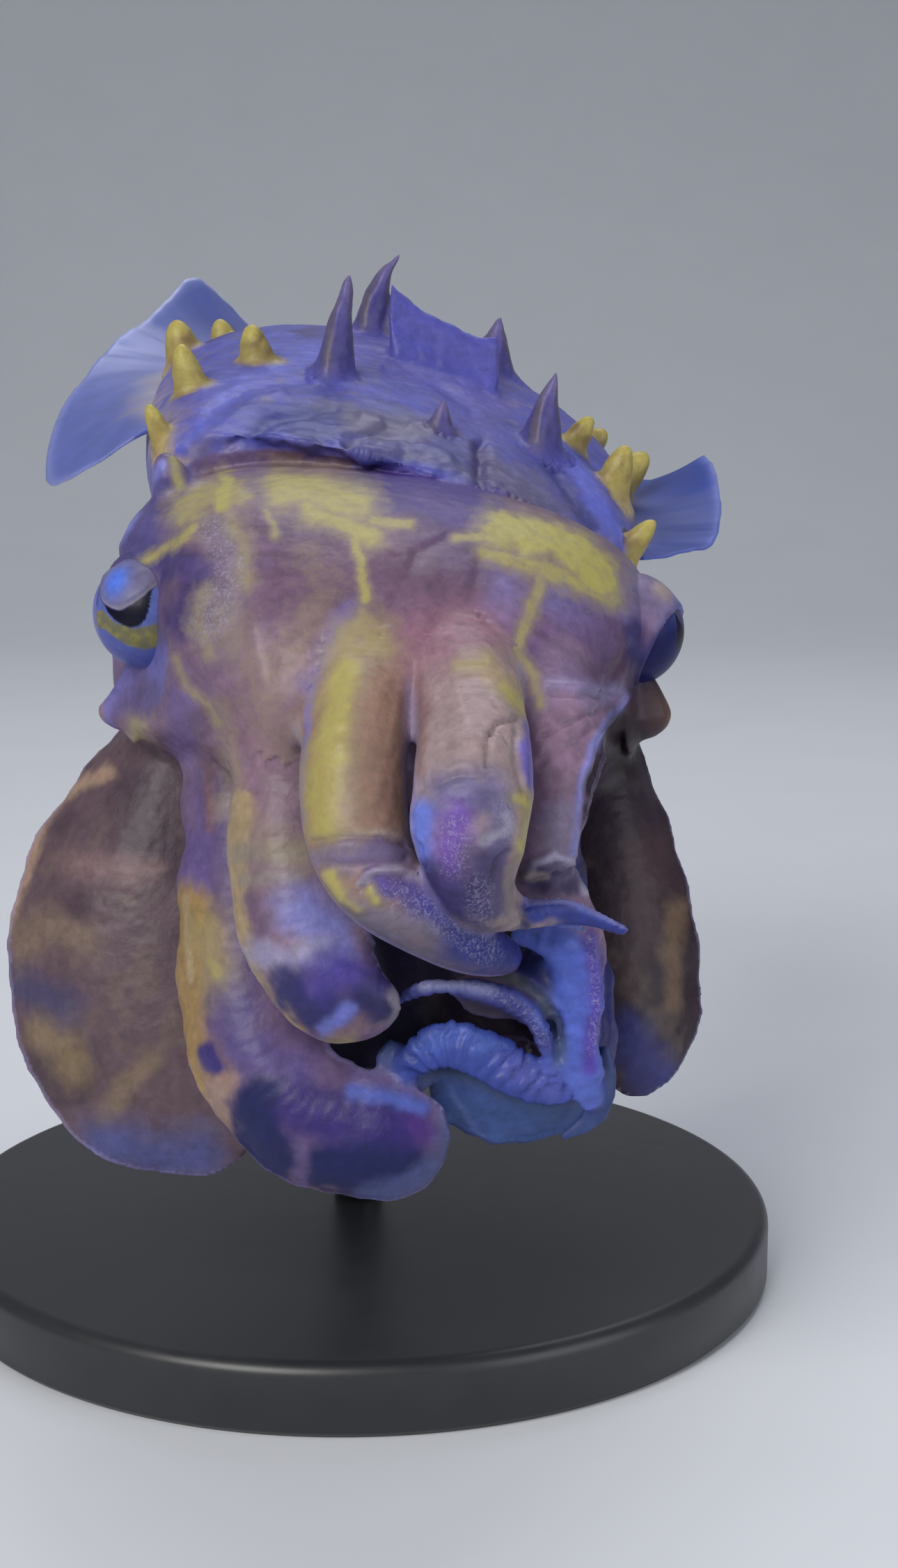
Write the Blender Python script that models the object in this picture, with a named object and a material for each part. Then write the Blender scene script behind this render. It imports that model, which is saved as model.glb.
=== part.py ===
"""A flamboyant cuttlefish, life size, hovering with its head to the viewer and its arms hung down, on a stand.

Sizes are in millimetres and are turned into metres at the end. The animal is laid out upright in the viewer's
own frame, x to the right, y away and z up, with the origin between the eyes, and is then tipped and lifted
onto the stand. It faces the viewer, so its own right side lies at -x.
"""

import math
import random

import bmesh
import bpy
import numpy as np
from mathutils import Matrix, Vector
from mathutils.bvhtree import BVHTree

METRES = 0.001
GAP = 0.3
VIEW_TILT = math.radians(10)
LIFT = 62.0
BASE_CENTRE = (-3.0, 26.0)

# How finely the forms are faceted.
SIDE_POINTS = 7
ARM_STEP = 2.5
BODY_SIDES = 26
MANTLE_STEP = 4.2
HEAD_STEP = 2.6
FUNNEL_STEP = 2.5

# Mantle, in its own frame: u to the viewer's right, v back along its axis, w up out of the back.
MANTLE_ORIGIN = (0.6, 10.0, 8.4)
MANTLE_PITCH = math.radians(19)
MANTLE_ROLL = math.radians(16)
MANTLE_LOBE = 4.0
LOBE_LENGTH = 14.0
# Each row: v, half width, height above the side line, depth below it.
MANTLE_ROWS = (
    (-3.0, 17.6, 5.2, 13.0),
    (4.0, 19.8, 6.8, 14.0),
    (14.0, 21.4, 8.2, 15.0),
    (26.0, 21.8, 9.0, 15.4),
    (38.0, 20.4, 8.2, 14.4),
    (50.0, 16.6, 6.2, 12.0),
    (60.0, 11.2, 3.9, 8.2),
    (67.0, 6.0, 2.2, 4.4),
    (70.0, 2.6, 1.2, 2.0),
)
# The middle line of the papillae on the back. Each one: u from that line, v, height, radii across and along,
# the lean of its tip across and along, how far it bends, and how fast it narrows, where less than 1 is blunt.
BACK_MIDLINE = 2.0
BACK_PAPILLAE = (
    (-9.2, 11.0, 8.6, 1.9, 2.7, -0.9, -0.6, 0.3, 0.62),
    (8.9, 9.5, 6.6, 2.1, 2.8, -0.6, -0.4, 0.4, 0.75),
    (-6.9, 35.0, 7.3, 1.9, 3.4, 0.6, -0.8, 2.6, 0.62),
    (-3.6, 35.0, 4.1, 4.4, 3.2, -2.2, 0.0, 0.3, 0.8),
    (4.9, 33.0, 5.2, 2.2, 3.2, -0.9, -0.4, 0.4, 0.65),
    (-3.8, 54.0, 4.2, 1.9, 2.6, -0.4, 1.0, 0.5, 0.7),
    (4.4, 54.0, 4.2, 1.9, 2.6, 0.2, 1.0, 0.5, 0.7),
    (0.3, 2.5, 3.0, 1.9, 1.6, -0.5, 0.2, 0.2, 0.85),
)
# Papillae along each side, above the fin: v, degrees up the side from its widest line, height, radius, and how
# far outwards it stands for each 1 upwards.
SIDE_PAPILLAE = {
    -1: (
        (0.5, 2.0, 3.4, 1.2, 0.75),
        (8.0, 28.0, 4.0, 1.7, 0.55),
        (14.0, 50.0, 3.1, 1.8, 0.5),
        (27.0, 18.0, 3.4, 2.0, 0.6),
        (42.0, 18.0, 2.6, 1.8, 0.6),
        (55.0, 18.0, 1.8, 1.3, 0.6),
    ),
    1: (
        (4.5, 8.0, 3.7, 1.4, 0.45),
        (12.0, 32.0, 4.3, 1.8, 0.05),
        (16.0, 49.0, 3.2, 1.5, 0.3),
        (28.0, 18.0, 3.4, 2.0, 0.6),
        (42.0, 18.0, 2.6, 1.8, 0.6),
        (55.0, 18.0, 1.8, 1.3, 0.6),
    ),
}
SIDE_PAPILLA_TAPER = 0.5
PAPILLA_SIDES = 6
PAPILLA_STATIONS = (0.0, 0.3, 0.6, 0.85, 1.0)
PAPILLA_TIP = 0.14
PAPILLA_SUNK = 1.0

# Fins, along the mantle's sides. Each row: v, how far the edge reaches out from the side, and its rise.
FIN_ROWS = {
    "fin_right": (
        (7.0, 1.5, -1.5), (12.5, 6.4, -8.4), (20.0, 8.2, -6.8), (32.0, 8.2, -2.2), (44.0, 7.4, 2.8),
        (52.0, 7.4, 6.2), (59.0, 4.8, 1.5), (66.0, 2.6, 0.2), (70.0, 1.4, 0.4),
    ),
    "fin_left": (
        (7.0, 1.5, 0.5), (13.0, 6.2, 1.6), (21.5, 7.6, 3.2), (31.0, 6.8, 6.4), (39.0, 8.4, 2.6),
        (48.0, 8.0, -2.6), (57.0, 6.4, -1.0), (65.0, 3.6, 1.4), (70.0, 1.4, 0.4),
    ),
}
FIN_ROOT_THICK = 1.0
FIN_EDGE_THICK = 0.54
FIN_ROWS_OUT = 5

# Head: each row is a point on its axis, from the neck forward, then half width, height and depth.
NECK_ROLL = math.radians(15)
HEAD_ROLL = math.radians(8)
HEAD_SQUARE_ABOVE = 0.8
HEAD_SQUARE_BELOW = 0.42
HEAD_ROWS = (
    (1.5, 22.0, 9.0, 12.5, 5.5, 7.5),
    (1.2, 15.0, 6.0, 16.6, 6.8, 11.0),
    (0.9, 9.0, 2.6, 19.6, 8.6, 13.0),
    (0.5, 3.0, 0.2, 20.6, 10.0, 14.0),
    (0.4, -2.0, -2.4, 19.6, 9.9, 13.0),
    (0.6, -7.0, -5.6, 16.4, 8.6, 10.6),
    (0.8, -11.0, -9.2, 11.6, 6.2, 7.6),
    (1.0, -13.2, -12.0, 7.0, 3.6, 4.4),
)

# Eyes: centre, and the way the pupil looks.
EYE_RADIUS = 4.3
EYES = {
    "eye_right": ((-16.8, -3.0, -0.7), (-0.8, -0.6, 0.0)),
    "eye_left": ((18.9, 2.2, -1.7), (0.93, -0.36, -0.05)),
}
SOCKET_RADIUS = 4.75
LID_RING = 4.1
LID_OUT = 1.7
LID_THICK = (0.75, 1.25)
LID_STEPS = 14
LID_SIDES = 5

# Small papillae of the head: foot, the way each stands, height and radius.
HEAD_PAPILLAE = (
    ((-15.0, -1.0, 8.2), (-0.35, -0.4, 0.9), 3.5, 2.0),
    ((17.4, 0.0, 2.6), (0.6, -0.5, 0.8), 1.5, 2.6),
    ((-19.4, 0.5, -8.0), (-1.0, -0.2, 0.1), 1.9, 1.8),
    ((20.4, 2.5, -8.0), (1.0, -0.2, -0.1), 1.9, 2.5),
)
HEAD_PAPILLA_TAPER = 0.5

# Funnel under the head: points on its line with radii, and the hollow in its mouth.
FUNNEL_ROWS = ((0.9, 16.0, -4.5, 6.4), (0.9, 10.0, -10.0, 5.2), (0.9, 4.5, -14.6, 3.6), (0.9, 1.0, -17.4, 2.6))
FUNNEL_WALL = 0.8
FUNNEL_HOLLOW = 3.0
FUNNEL_NARROW = 0.8
FUNNEL_SIDES = 16

# Stand, in the same millimetres with z up from its underside.
BASE_RADIUS = 37.0
BASE_THICK = 6.0
BASE_BEVEL = 1.2
ROD_RADIUS = 2.2
ROD_TOP = 66.0
BASE_SIDES = 48
ROD_SIDES = 20

# Colour and roughness by a word in a node's name.
FINISHES = {
    "head": ((0.23, 0.13, 0.27), 0.45),
    "mantle": ((0.18, 0.16, 0.42), 0.45),
    "fin": ((0.10, 0.14, 0.45), 0.35),
    "eye": ((0.45, 0.55, 0.75), 0.15),
    "funnel": ((0.30, 0.26, 0.42), 0.45),
    "arm_1": ((0.36, 0.24, 0.22), 0.45),
    "arm_2": ((0.24, 0.19, 0.32), 0.45),
    "arm_3": ((0.20, 0.13, 0.28), 0.45),
    "arm_4": ((0.17, 0.10, 0.15), 0.45),
    "web": ((0.08, 0.09, 0.25), 0.45),
    "stand": ((0.03, 0.03, 0.035), 0.35),
}

# Each arm: rows of a point on its line, half width and half thickness, from the root to the tip, and the way
# its outer face looks at the root and at the tip. keel is how far the thickness keeps to the middle, cup is how
# far its margins curl to the inner side, and split is the share of its length where it is parted.
ARMS = {
    "arm_1_right": {
        "rows": (
            (-0.6, -2.0, 0.5, 3.3, 2.8),
            (-1.2, -12.0, -4.2, 3.7, 3.2),
            (-1.2, -17.5, -10.5, 3.7, 3.2),
            (-1.0, -19.5, -16.0, 3.6, 3.0),
            (0.4, -20.0, -19.6, 3.2, 2.6),
            (3.6, -19.0, -22.3, 2.7, 2.3),
            (7.0, -16.5, -24.4, 2.1, 1.8),
            (10.0, -13.5, -25.6, 1.1, 1.0),
        ),
        "faces": ((-0.1, -0.6, 0.8), (-0.1, -1.0, 0.2), (-0.2, -1.0, 0.3)),
        "keel": 0.55, "cup": 0.1, "split": 0.56,
    },
    "arm_1_left": {
        "rows": (
            (5.5, -2.0, -0.4, 3.3, 2.8),
            (6.2, -12.0, -5.0, 3.7, 3.2),
            (6.8, -17.8, -9.8, 3.8, 3.3),
            (6.8, -22.0, -13.2, 3.9, 3.3),
            (6.6, -22.5, -17.2, 3.7, 3.0),
            (7.4, -20.5, -20.6, 2.5, 2.2),
            (10.0, -17.5, -22.2, 1.2, 1.1),
            (13.4, -15.8, -22.2, 0.9, 0.8),
            (17.6, -15.0, -23.6, 0.35, 0.3),
        ),
        "faces": ((0.1, -0.6, 0.8), (0.0, -1.0, 0.1), (0.2, -0.6, -0.7)),
        "keel": 0.55, "cup": 0.1, "split": 0.5,
    },
    "arm_2_right": {
        "rows": (
            (-4.5, -1.0, -1.0, 4.0, 2.6),
            (-6.4, -8.5, -6.0, 4.3, 2.4),
            (-6.4, -11.5, -12.5, 4.5, 2.2),
            (-6.2, -13.0, -18.5, 4.6, 2.1),
            (-5.0, -14.0, -24.2, 4.6, 2.0),
            (-2.6, -14.6, -27.7, 4.2, 1.9),
            (-0.2, -14.4, -28.7, 3.6, 1.6),
            (1.8, -13.8, -28.6, 2.5, 1.2),
        ),
        "faces": ((-0.4, -0.7, 0.6), (-0.3, -1.0, 0.0), (0.0, -1.0, -0.4)),
        "keel": 0.9, "cup": 0.25, "split": 0.52,
    },
    "arm_3_right": {
        "rows": (
            (-8.0, 1.0, -3.5, 4.2, 2.4),
            (-11.0, -3.0, -9.5, 4.6, 2.3),
            (-10.6, -5.5, -17.0, 5.0, 2.1),
            (-10.4, -7.0, -25.0, 5.2, 2.0),
            (-9.2, -8.5, -32.0, 5.2, 2.0),
            (-5.4, -9.8, -37.0, 5.0, 1.9),
            (0.4, -10.6, -38.6, 4.8, 1.7),
            (5.2, -10.6, -37.4, 4.2, 1.3),
        ),
        "faces": ((-0.6, -0.7, 0.4), (-0.4, -1.0, 0.0), (0.1, -1.0, -0.2)),
        "keel": 0.9, "cup": 0.25, "split": 0.5,
    },
    "arm_4_right": {
        "rows": (
            (-13.6, 6.6, -3.0, 5.0, 2.8),
            (-15.6, 5.6, -9.0, 5.4, 2.6),
            (-18.0, 4.4, -14.5, 7.0, 2.2),
            (-19.8, 3.4, -19.8, 8.7, 1.9),
            (-20.5, 2.7, -25.0, 9.3, 1.7),
            (-19.8, 2.2, -30.0, 9.6, 1.6),
            (-17.5, 1.8, -34.8, 9.0, 1.5),
            (-13.3, 1.4, -38.0, 6.6, 1.3),
            (-9.0, 1.0, -39.6, 4.8, 1.1),
        ),
        "faces": ((-0.5, -0.8, 0.2), (-0.3, -1.0, 0.0), (-0.1, -1.0, -0.1)),
        "keel": 1.4, "cup": 0.12, "split": 0.45,
    },
    "arm_2_left": {
        "rows": (
            (10.5, -1.0, -1.0, 4.0, 2.6),
            (12.4, -8.5, -5.0, 4.2, 2.5),
            (12.8, -12.5, -10.0, 4.0, 2.3),
            (12.2, -14.3, -15.0, 3.0, 2.1),
            (11.8, -13.8, -18.6, 2.6, 1.9),
            (12.6, -11.0, -21.4, 2.7, 1.7),
            (14.0, -9.7, -25.0, 2.9, 1.6),
            (11.8, -10.4, -27.5, 2.6, 1.4),
            (8.4, -11.5, -28.1, 1.9, 1.1),
            (5.4, -12.2, -27.7, 1.2, 0.8),
        ),
        "faces": ((0.4, -0.7, 0.6), (0.3, -1.0, 0.1), (0.3, -0.8, 0.6)),
        "keel": 0.8, "cup": 0.2, "split": 0.47,
    },
    "arm_3_left": {
        "rows": (
            (12.0, 1.0, -3.5, 4.2, 2.4),
            (13.0, -3.0, -9.5, 4.0, 2.2),
            (12.4, -5.0, -16.0, 3.2, 2.0),
            (13.2, -5.5, -22.0, 2.9, 1.9),
            (14.8, -6.0, -28.0, 2.8, 1.8),
            (14.6, -6.6, -33.0, 3.2, 1.7),
            (12.0, -7.4, -35.8, 4.0, 1.5),
            (7.8, -8.0, -35.3, 4.1, 1.3),
            (4.0, -8.6, -33.8, 3.2, 1.0),
        ),
        "faces": ((0.6, -0.7, 0.4), (0.5, -1.0, 0.0), (0.2, -1.0, -0.4)),
        "keel": 0.8, "cup": 0.2, "split": 0.46,
    },
    "arm_4_left": {
        "rows": (
            (16.2, 7.0, -4.0, 4.6, 2.6),
            (16.9, 5.8, -11.0, 4.2, 2.3),
            (17.9, 4.4, -17.0, 5.2, 2.0),
            (18.8, 3.0, -25.0, 6.2, 1.7),
            (19.4, 2.4, -31.0, 5.8, 1.6),
            (19.6, 2.0, -34.6, 4.6, 1.4),
            (19.6, 1.8, -37.2, 3.0, 1.0),
        ),
        "faces": ((0.5, -0.8, 0.2), (0.3, -1.0, 0.0), (0.3, -1.0, -0.1)),
        "keel": 1.4, "cup": 0.12, "split": 0.45,
    },
}
ARM_MARGIN = 0.27
ARM_LEAST = 0.32
ORAL_DEPTH = 0.7

# The web between the arms. Each row: its middle line, half width, and how far its middle lies back.
WEB_ROWS = (
    (2.4, -6.0, -13.5, 6.4, 0.2),
    (2.4, -4.8, -18.0, 8.6, 0.8),
    (2.6, -5.1, -24.0, 9.2, 1.2),
    (3.8, -5.4, -30.0, 9.8, 1.0),
    (4.6, -4.9, -34.5, 10.0, 0.4),
)
WEB_THICK = 0.9
WEB_STEP = 2.2
WEB_COLUMNS = 9

# Suckers: two at a time along an arm's inner face, in four staggered rows, each a share of the half width.
SUCKER_FROM = 0.3
SUCKER_TO = 0.96
SUCKER_PAIRS = 10
SUCKER_ROWS = ((-0.52, 0.14), (-0.14, 0.52))
SUCKER_SIZE = 0.17
SUCKER_LEAST = 0.3
SUCKER_SIDES = 5
SUCKER_SUNK = 0.4
SEED = 4


def unit(vector):
    return vector / np.linalg.norm(vector)


def curve_through(rows, step):
    """Rows read along a smooth curve through them, about one step apart by length."""
    rows = np.array(rows, float)
    padded = np.vstack([2 * rows[0] - rows[1], rows, 2 * rows[-1] - rows[-2]])
    fine = []
    for a, b, c, d in zip(padded, padded[1:], padded[2:], padded[3:]):
        for s in np.arange(0, 1, 0.05):
            fine.append(0.5 * (2 * b + (c - a) * s + (2 * a - 5 * b + 4 * c - d) * s**2
                               + (3 * b - a - 3 * c + d) * s**3))
    fine = np.array(fine + [rows[-1]])
    travelled = np.concatenate([[0], np.cumsum(np.linalg.norm(np.diff(fine[:, :3], axis=0), axis=1))])
    count = max(4, round(travelled[-1] / step))
    even = np.linspace(0, travelled[-1], count + 1)
    return np.column_stack([np.interp(even, travelled, column) for column in fine.T]), travelled[-1]


def frames_along(points, faces):
    """For each point, the way across the form and the way its outer face looks."""
    faces = np.array(faces, float)
    share = np.linspace(0, len(faces) - 1, len(points))
    looks = np.column_stack([np.interp(share, range(len(faces)), column) for column in faces.T])
    across, outward = [], []
    for tangent, look in zip(np.gradient(points, axis=0), looks):
        tangent = unit(tangent)
        face = unit(look - look.dot(tangent) * tangent)
        outward.append(face)
        across.append(np.cross(tangent, face))
    return np.array(across), np.array(outward)


def lofted(name, rings, halves):
    """A closed mesh object over rings of points. halves is how many points of a ring lie on its outer side,
    where faces are split the opposite way to the inner side, so that both faces of a thin blade match."""
    rings = np.array(rings)
    count = rings.shape[1]
    faces = []
    for i in range(len(rings) - 1):
        for j in range(count):
            k = (j + 1) % count
            a, b = i * count + j, i * count + k
            c, d = a + count, b + count
            faces += [(a, b, d), (a, d, c)] if j < halves else [(a, b, c), (b, d, c)]
    faces.append(tuple(range(count))[::-1])
    last = (len(rings) - 1) * count
    faces.append(tuple(range(last, last + count)))
    return closed_mesh(name, [p for ring in rings for p in ring], faces)


def blade_rings(points, across, outward, half_width, half_depth, keel, cup, grow=0.0):
    """Rings of a blade: its outer side from one margin to the other, then its flatter inner side back."""
    spread = -np.cos(np.pi * np.arange(SIDE_POINTS) / (SIDE_POINTS - 1))
    rings = []
    for p, a, n, width, depth in zip(points, across, outward, half_width, half_depth):
        margin = min(ARM_MARGIN, 0.8 * depth)
        rise = margin + (depth - margin) * (1 - spread**2) ** keel + grow
        fall = margin + (ORAL_DEPTH * depth - margin) * (1 - spread**2) ** keel + grow
        curl = -cup * width * spread**2
        side = spread * (width + grow)
        outer = [p + a * s + n * (c + r) for s, c, r in zip(side, curl, rise)]
        inner = [p + a * s + n * (c - f) for s, c, f in zip(side, curl, fall)]
        rings.append(outer + inner[::-1])
    return rings


def arm_line(arm):
    """Points, frames, half widths and half depths along an arm, with its tip rounded off."""
    rows, length = curve_through(arm["rows"], ARM_STEP)
    points, width, depth = rows[:, :3], rows[:, 3], rows[:, 4]
    across, outward = frames_along(points, arm["faces"])
    left = length - np.linspace(0, length, len(points))
    rounding = np.sqrt(1 - (1 - np.clip(left / width, 0, 1)) ** 2)
    width = np.maximum(width * np.maximum(rounding, 0.3), ARM_LEAST)
    depth = np.maximum(depth * np.maximum(rounding, 0.6), ARM_MARGIN)
    return points, across, outward, width, depth


def split_index(arm, points):
    return round(arm["split"] * (len(points) - 1))


def arm_blade(name, arm, first=0, last=None, start_gap=0.0, grow=0.0):
    """An arm, or a length of it, as one closed blade. A grown one is a cutter, longer at both ends too."""
    points, across, outward, width, depth = arm_line(arm)
    chosen = slice(first, last)
    line = points[chosen].copy()
    line[0] += unit(line[1] - line[0]) * (start_gap - grow)
    line[-1] += unit(line[-1] - line[-2]) * grow
    rings = blade_rings(line, across[chosen], outward[chosen], width[chosen], depth[chosen], arm["keel"],
                        arm["cup"], grow)
    return lofted(name, rings, SIDE_POINTS)


def arm_suckers(name, arm, blocked):
    """Small cups over an arm's inner face as a list of foot, way it looks, way across and radius for each of
    its two lengths. A cup that another form lies against is left out."""
    points, across, outward, width, depth = arm_line(arm)
    parted = split_index(arm, points)
    found = {"base": [], "tip": []}
    for k in range(SUCKER_PAIRS):
        at = (SUCKER_FROM + (SUCKER_TO - SUCKER_FROM) * k / (SUCKER_PAIRS - 1)) * (len(points) - 1)
        i = min(int(at), len(points) - 2)
        p, a, n = ((i + 1 - at) * line[i] + (at - i) * line[i + 1] for line in (points, across, outward))
        w, d = ((i + 1 - at) * line[i] + (at - i) * line[i + 1] for line in (width, depth))
        for u in SUCKER_ROWS[k % 2]:
            radius = max(SUCKER_SIZE * w, SUCKER_LEAST) * random.uniform(0.9, 1.1)
            if abs(at - parted) * ARM_STEP < radius + GAP or u * u > 0.1 and w < 3 * SUCKER_LEAST:
                continue
            inner = ARM_MARGIN + (ORAL_DEPTH * d - ARM_MARGIN) * (1 - u * u) ** arm["keel"]
            foot = p + a * u * w - n * (arm["cup"] * w * u * u + inner)
            if not blocked(foot - unit(n) * radius, radius + GAP):
                found["base" if at < parted else "tip"].append((foot, -unit(n), unit(a), radius))
    return found


def cups(name, rows):
    """Small cups, each its own closed mesh object, with a sunk stem, a rim and a hollow in it."""
    made = []
    turns = [2 * math.pi * k / SUCKER_SIDES for k in range(SUCKER_SIDES)]
    for number, (foot, look, side, radius) in enumerate(rows):
        other = np.cross(look, side)
        rings = []
        for height, girth in ((-SUCKER_SUNK, 0.7), (0.45 * radius, 1.0), (0.25 * radius, 0.5)):
            rings.append([foot + look * height + radius * girth * (side * math.cos(t) + other * math.sin(t))
                          for t in turns])
        made.append(lofted(f"{name}_{number}", rings, SUCKER_SIDES))
    return made


def closed_mesh(name, points, faces):
    solid = bmesh.new()
    corners = [solid.verts.new(Vector(p)) for p in points]
    for face in faces:
        solid.faces.new([corners[k] for k in face])
    bmesh.ops.recalc_face_normals(solid, faces=solid.faces)
    bmesh.ops.triangulate(solid, faces=solid.faces)
    return object_of(name, solid)


def oval_rings(points, across, outward, widths, heights, depths, square=(1.0, 0.9), grow=0.0):
    """Rings of a body whose upper and lower halves have their own heights and their own squareness."""
    turns = 2 * math.pi * np.arange(BODY_SIDES) / BODY_SIDES
    power = np.where(np.sin(turns) > 0, *square)
    c = np.sign(np.cos(turns)) * np.abs(np.cos(turns)) ** power
    s = np.sign(np.sin(turns)) * np.abs(np.sin(turns)) ** power
    rings = []
    for p, a, n, width, height, depth in zip(points, across, outward, widths, heights, depths):
        tall = np.where(s > 0, height + grow, depth + grow)
        rings.append([p + a * (width + grow) * x + n * t * y for x, y, t in zip(c, s, tall)])
    return rings


def mantle_axes():
    """The mantle's own axes in the viewer's frame: across, back and up."""
    back = np.array((0.0, math.cos(MANTLE_PITCH), math.sin(MANTLE_PITCH)))
    level = np.array((1.0, 0.0, 0.0))
    rise = np.array((0.0, -math.sin(MANTLE_PITCH), math.cos(MANTLE_PITCH)))
    across = level * math.cos(MANTLE_ROLL) - rise * math.sin(MANTLE_ROLL)
    return across, back, level * math.sin(MANTLE_ROLL) + rise * math.cos(MANTLE_ROLL)


def on_mantle(u, v, w):
    across, back, up = mantle_axes()
    return np.array(MANTLE_ORIGIN) + across * u + back * v + up * w


def mantle_sizes(v):
    """Half width, height and depth of the mantle at v."""
    rows = np.array(MANTLE_ROWS)
    return [float(np.interp(v, rows[:, 0], rows[:, k])) for k in (1, 2, 3)]


def mantle_back(u, v):
    """The height of the mantle's back at u and v."""
    width, height, _ = mantle_sizes(v)
    return height * math.sqrt(max(0.0, 1 - (u / width) ** 2))


def mantle_stations():
    """Rows of v, half width, height and depth, read along a smooth curve through the mantle's rows."""
    rows, _ = curve_through([(v, 0, 0, width, up, down) for v, width, up, down in MANTLE_ROWS], MANTLE_STEP)
    return rows[:, (0, 3, 4, 5)]


def mantle_core(name, grow=0.0):
    v_line, widths, heights, depths = mantle_stations().T
    across, back, up = mantle_axes()
    points = [on_mantle(0, v, 0) for v in v_line]
    count = len(points)
    rings = oval_rings(points, [across] * count, [up] * count, widths, heights, depths, grow=grow)
    for ring, v in zip(rings, v_line):
        reach = MANTLE_LOBE * max(0.0, 1 - (v - MANTLE_ROWS[0][0]) / LOBE_LENGTH)
        for j in range(BODY_SIDES // 2):
            ring[j] = ring[j] - back * reach * math.sin(2 * math.pi * j / BODY_SIDES) ** 2
    if grow:
        rings[0] = [p - back * grow for p in rings[0]]
        rings[-1] = [p + back * grow for p in rings[-1]]
    return lofted(name, rings, BODY_SIDES // 2)


def head_core(name, grow=0.0):
    rows, _ = curve_through(HEAD_ROWS, HEAD_STEP)
    tops = [(math.sin(roll), 0.0, math.cos(roll)) for roll in (NECK_ROLL, HEAD_ROLL, HEAD_ROLL)]
    across, outward = frames_along(rows[:, :3], tops)
    square = (HEAD_SQUARE_ABOVE, HEAD_SQUARE_BELOW)
    rings = oval_rings(rows[:, :3], across, outward, rows[:, 3], rows[:, 4], rows[:, 5], square, grow)
    if grow:
        ahead = unit(rows[-1, :3] - rows[-2, :3]) * grow
        rings[0] = [p - ahead for p in rings[0]]
        rings[-1] = [p + ahead for p in rings[-1]]
    return lofted(name, rings, BODY_SIDES // 2)


def papilla(name, foot, tip, side, radii, taper, bend=0.0):
    """A lobe from its foot to its tip, wide at the root, with its length bent to the side."""
    axis = tip - foot
    along = unit(axis)
    side = unit(side - side.dot(along) * along)
    other = np.cross(along, side)
    turns = [2 * math.pi * k / PAPILLA_SIDES for k in range(PAPILLA_SIDES)]
    rings = []
    for t in PAPILLA_STATIONS:
        centre = foot + axis * t + side * bend * max(t, 0.0) ** 2
        girth = (1 - PAPILLA_TIP) * (1 - max(t, 0.0)) ** taper + PAPILLA_TIP
        rings.append([centre + girth * (side * radii[0] * math.cos(a) + other * radii[1] * math.sin(a))
                      for a in turns])
    return lofted(name, rings, PAPILLA_SIDES)


def back_papillae():
    made = []
    across, back, up = mantle_axes()
    for k, (offset, v, height, wide, long, lean, push, bend, taper) in enumerate(BACK_PAPILLAE):
        u = BACK_MIDLINE + offset
        foot = on_mantle(u, v, mantle_back(u, v) - PAPILLA_SUNK)
        tip = foot + up * (height + PAPILLA_SUNK) + across * (lean - bend) + back * push
        made.append(papilla(f"back_papilla_{k}", foot, tip, across, (wide, long), taper, bend))
    return made


def side_papillae():
    """Stubby papillae on both sides, standing up and out from the edges of the back."""
    made = []
    across, back, up = mantle_axes()
    for side, rows in SIDE_PAPILLAE.items():
        for k, (v, turn, height, radius, out) in enumerate(rows):
            width, tall, _ = mantle_sizes(v)
            stand = unit(across * side * out + up)
            turn = math.radians(turn)
            foot = on_mantle(side * width * math.cos(turn), v, tall * math.sin(turn)) - stand * PAPILLA_SUNK
            tip = foot + stand * (height + PAPILLA_SUNK)
            name = f"side_papilla_{k}_{'left' if side > 0 else 'right'}"
            made.append(papilla(name, foot, tip, back, (radius, radius), SIDE_PAPILLA_TAPER))
    return made


def head_papillae():
    made = []
    for k, (foot, stand, height, radius) in enumerate(HEAD_PAPILLAE):
        foot, stand = np.array(foot), unit(np.array(stand))
        tip = foot + stand * height
        back = np.array((0.0, 1.0, 0.0))
        made.append(papilla(f"head_papilla_{k}", foot - stand * PAPILLA_SUNK, tip, back, (radius, radius),
                            HEAD_PAPILLA_TAPER))
    return made


def fin(name, rows, grow=0.0):
    """A thin waved web with its root against the mantle's side and both faces split alike."""
    side = -1 if name.startswith("fin_right") else 1
    lines, _ = curve_through([(0, v, 0, reach, rise, 0) for v, reach, rise in rows], 1.0)
    across, back, up = mantle_axes()
    upper, lower = [], []
    for v, root in mantle_stations()[:, :2]:
        if v < rows[0][0]:
            continue
        reach, rise = (np.interp(v, lines[:, 1], lines[:, k]) for k in (3, 4))
        root += GAP
        row = []
        for k in range(FIN_ROWS_OUT):
            t = k / (FIN_ROWS_OUT - 1)
            thick = FIN_ROOT_THICK + (FIN_EDGE_THICK - FIN_ROOT_THICK) * t + 2 * grow
            middle = on_mantle(side * (root + reach * t), v, rise * t**1.5)
            tilt = math.atan2(1.5 * rise * t**0.5, reach)
            face = up * math.cos(tilt) - across * side * math.sin(tilt)
            row.append((middle + face * thick / 2, middle - face * thick / 2))
        upper.append([p for p, _ in row])
        lower.append([q for _, q in row])
    return sheet_mesh(name, upper, lower)


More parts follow.
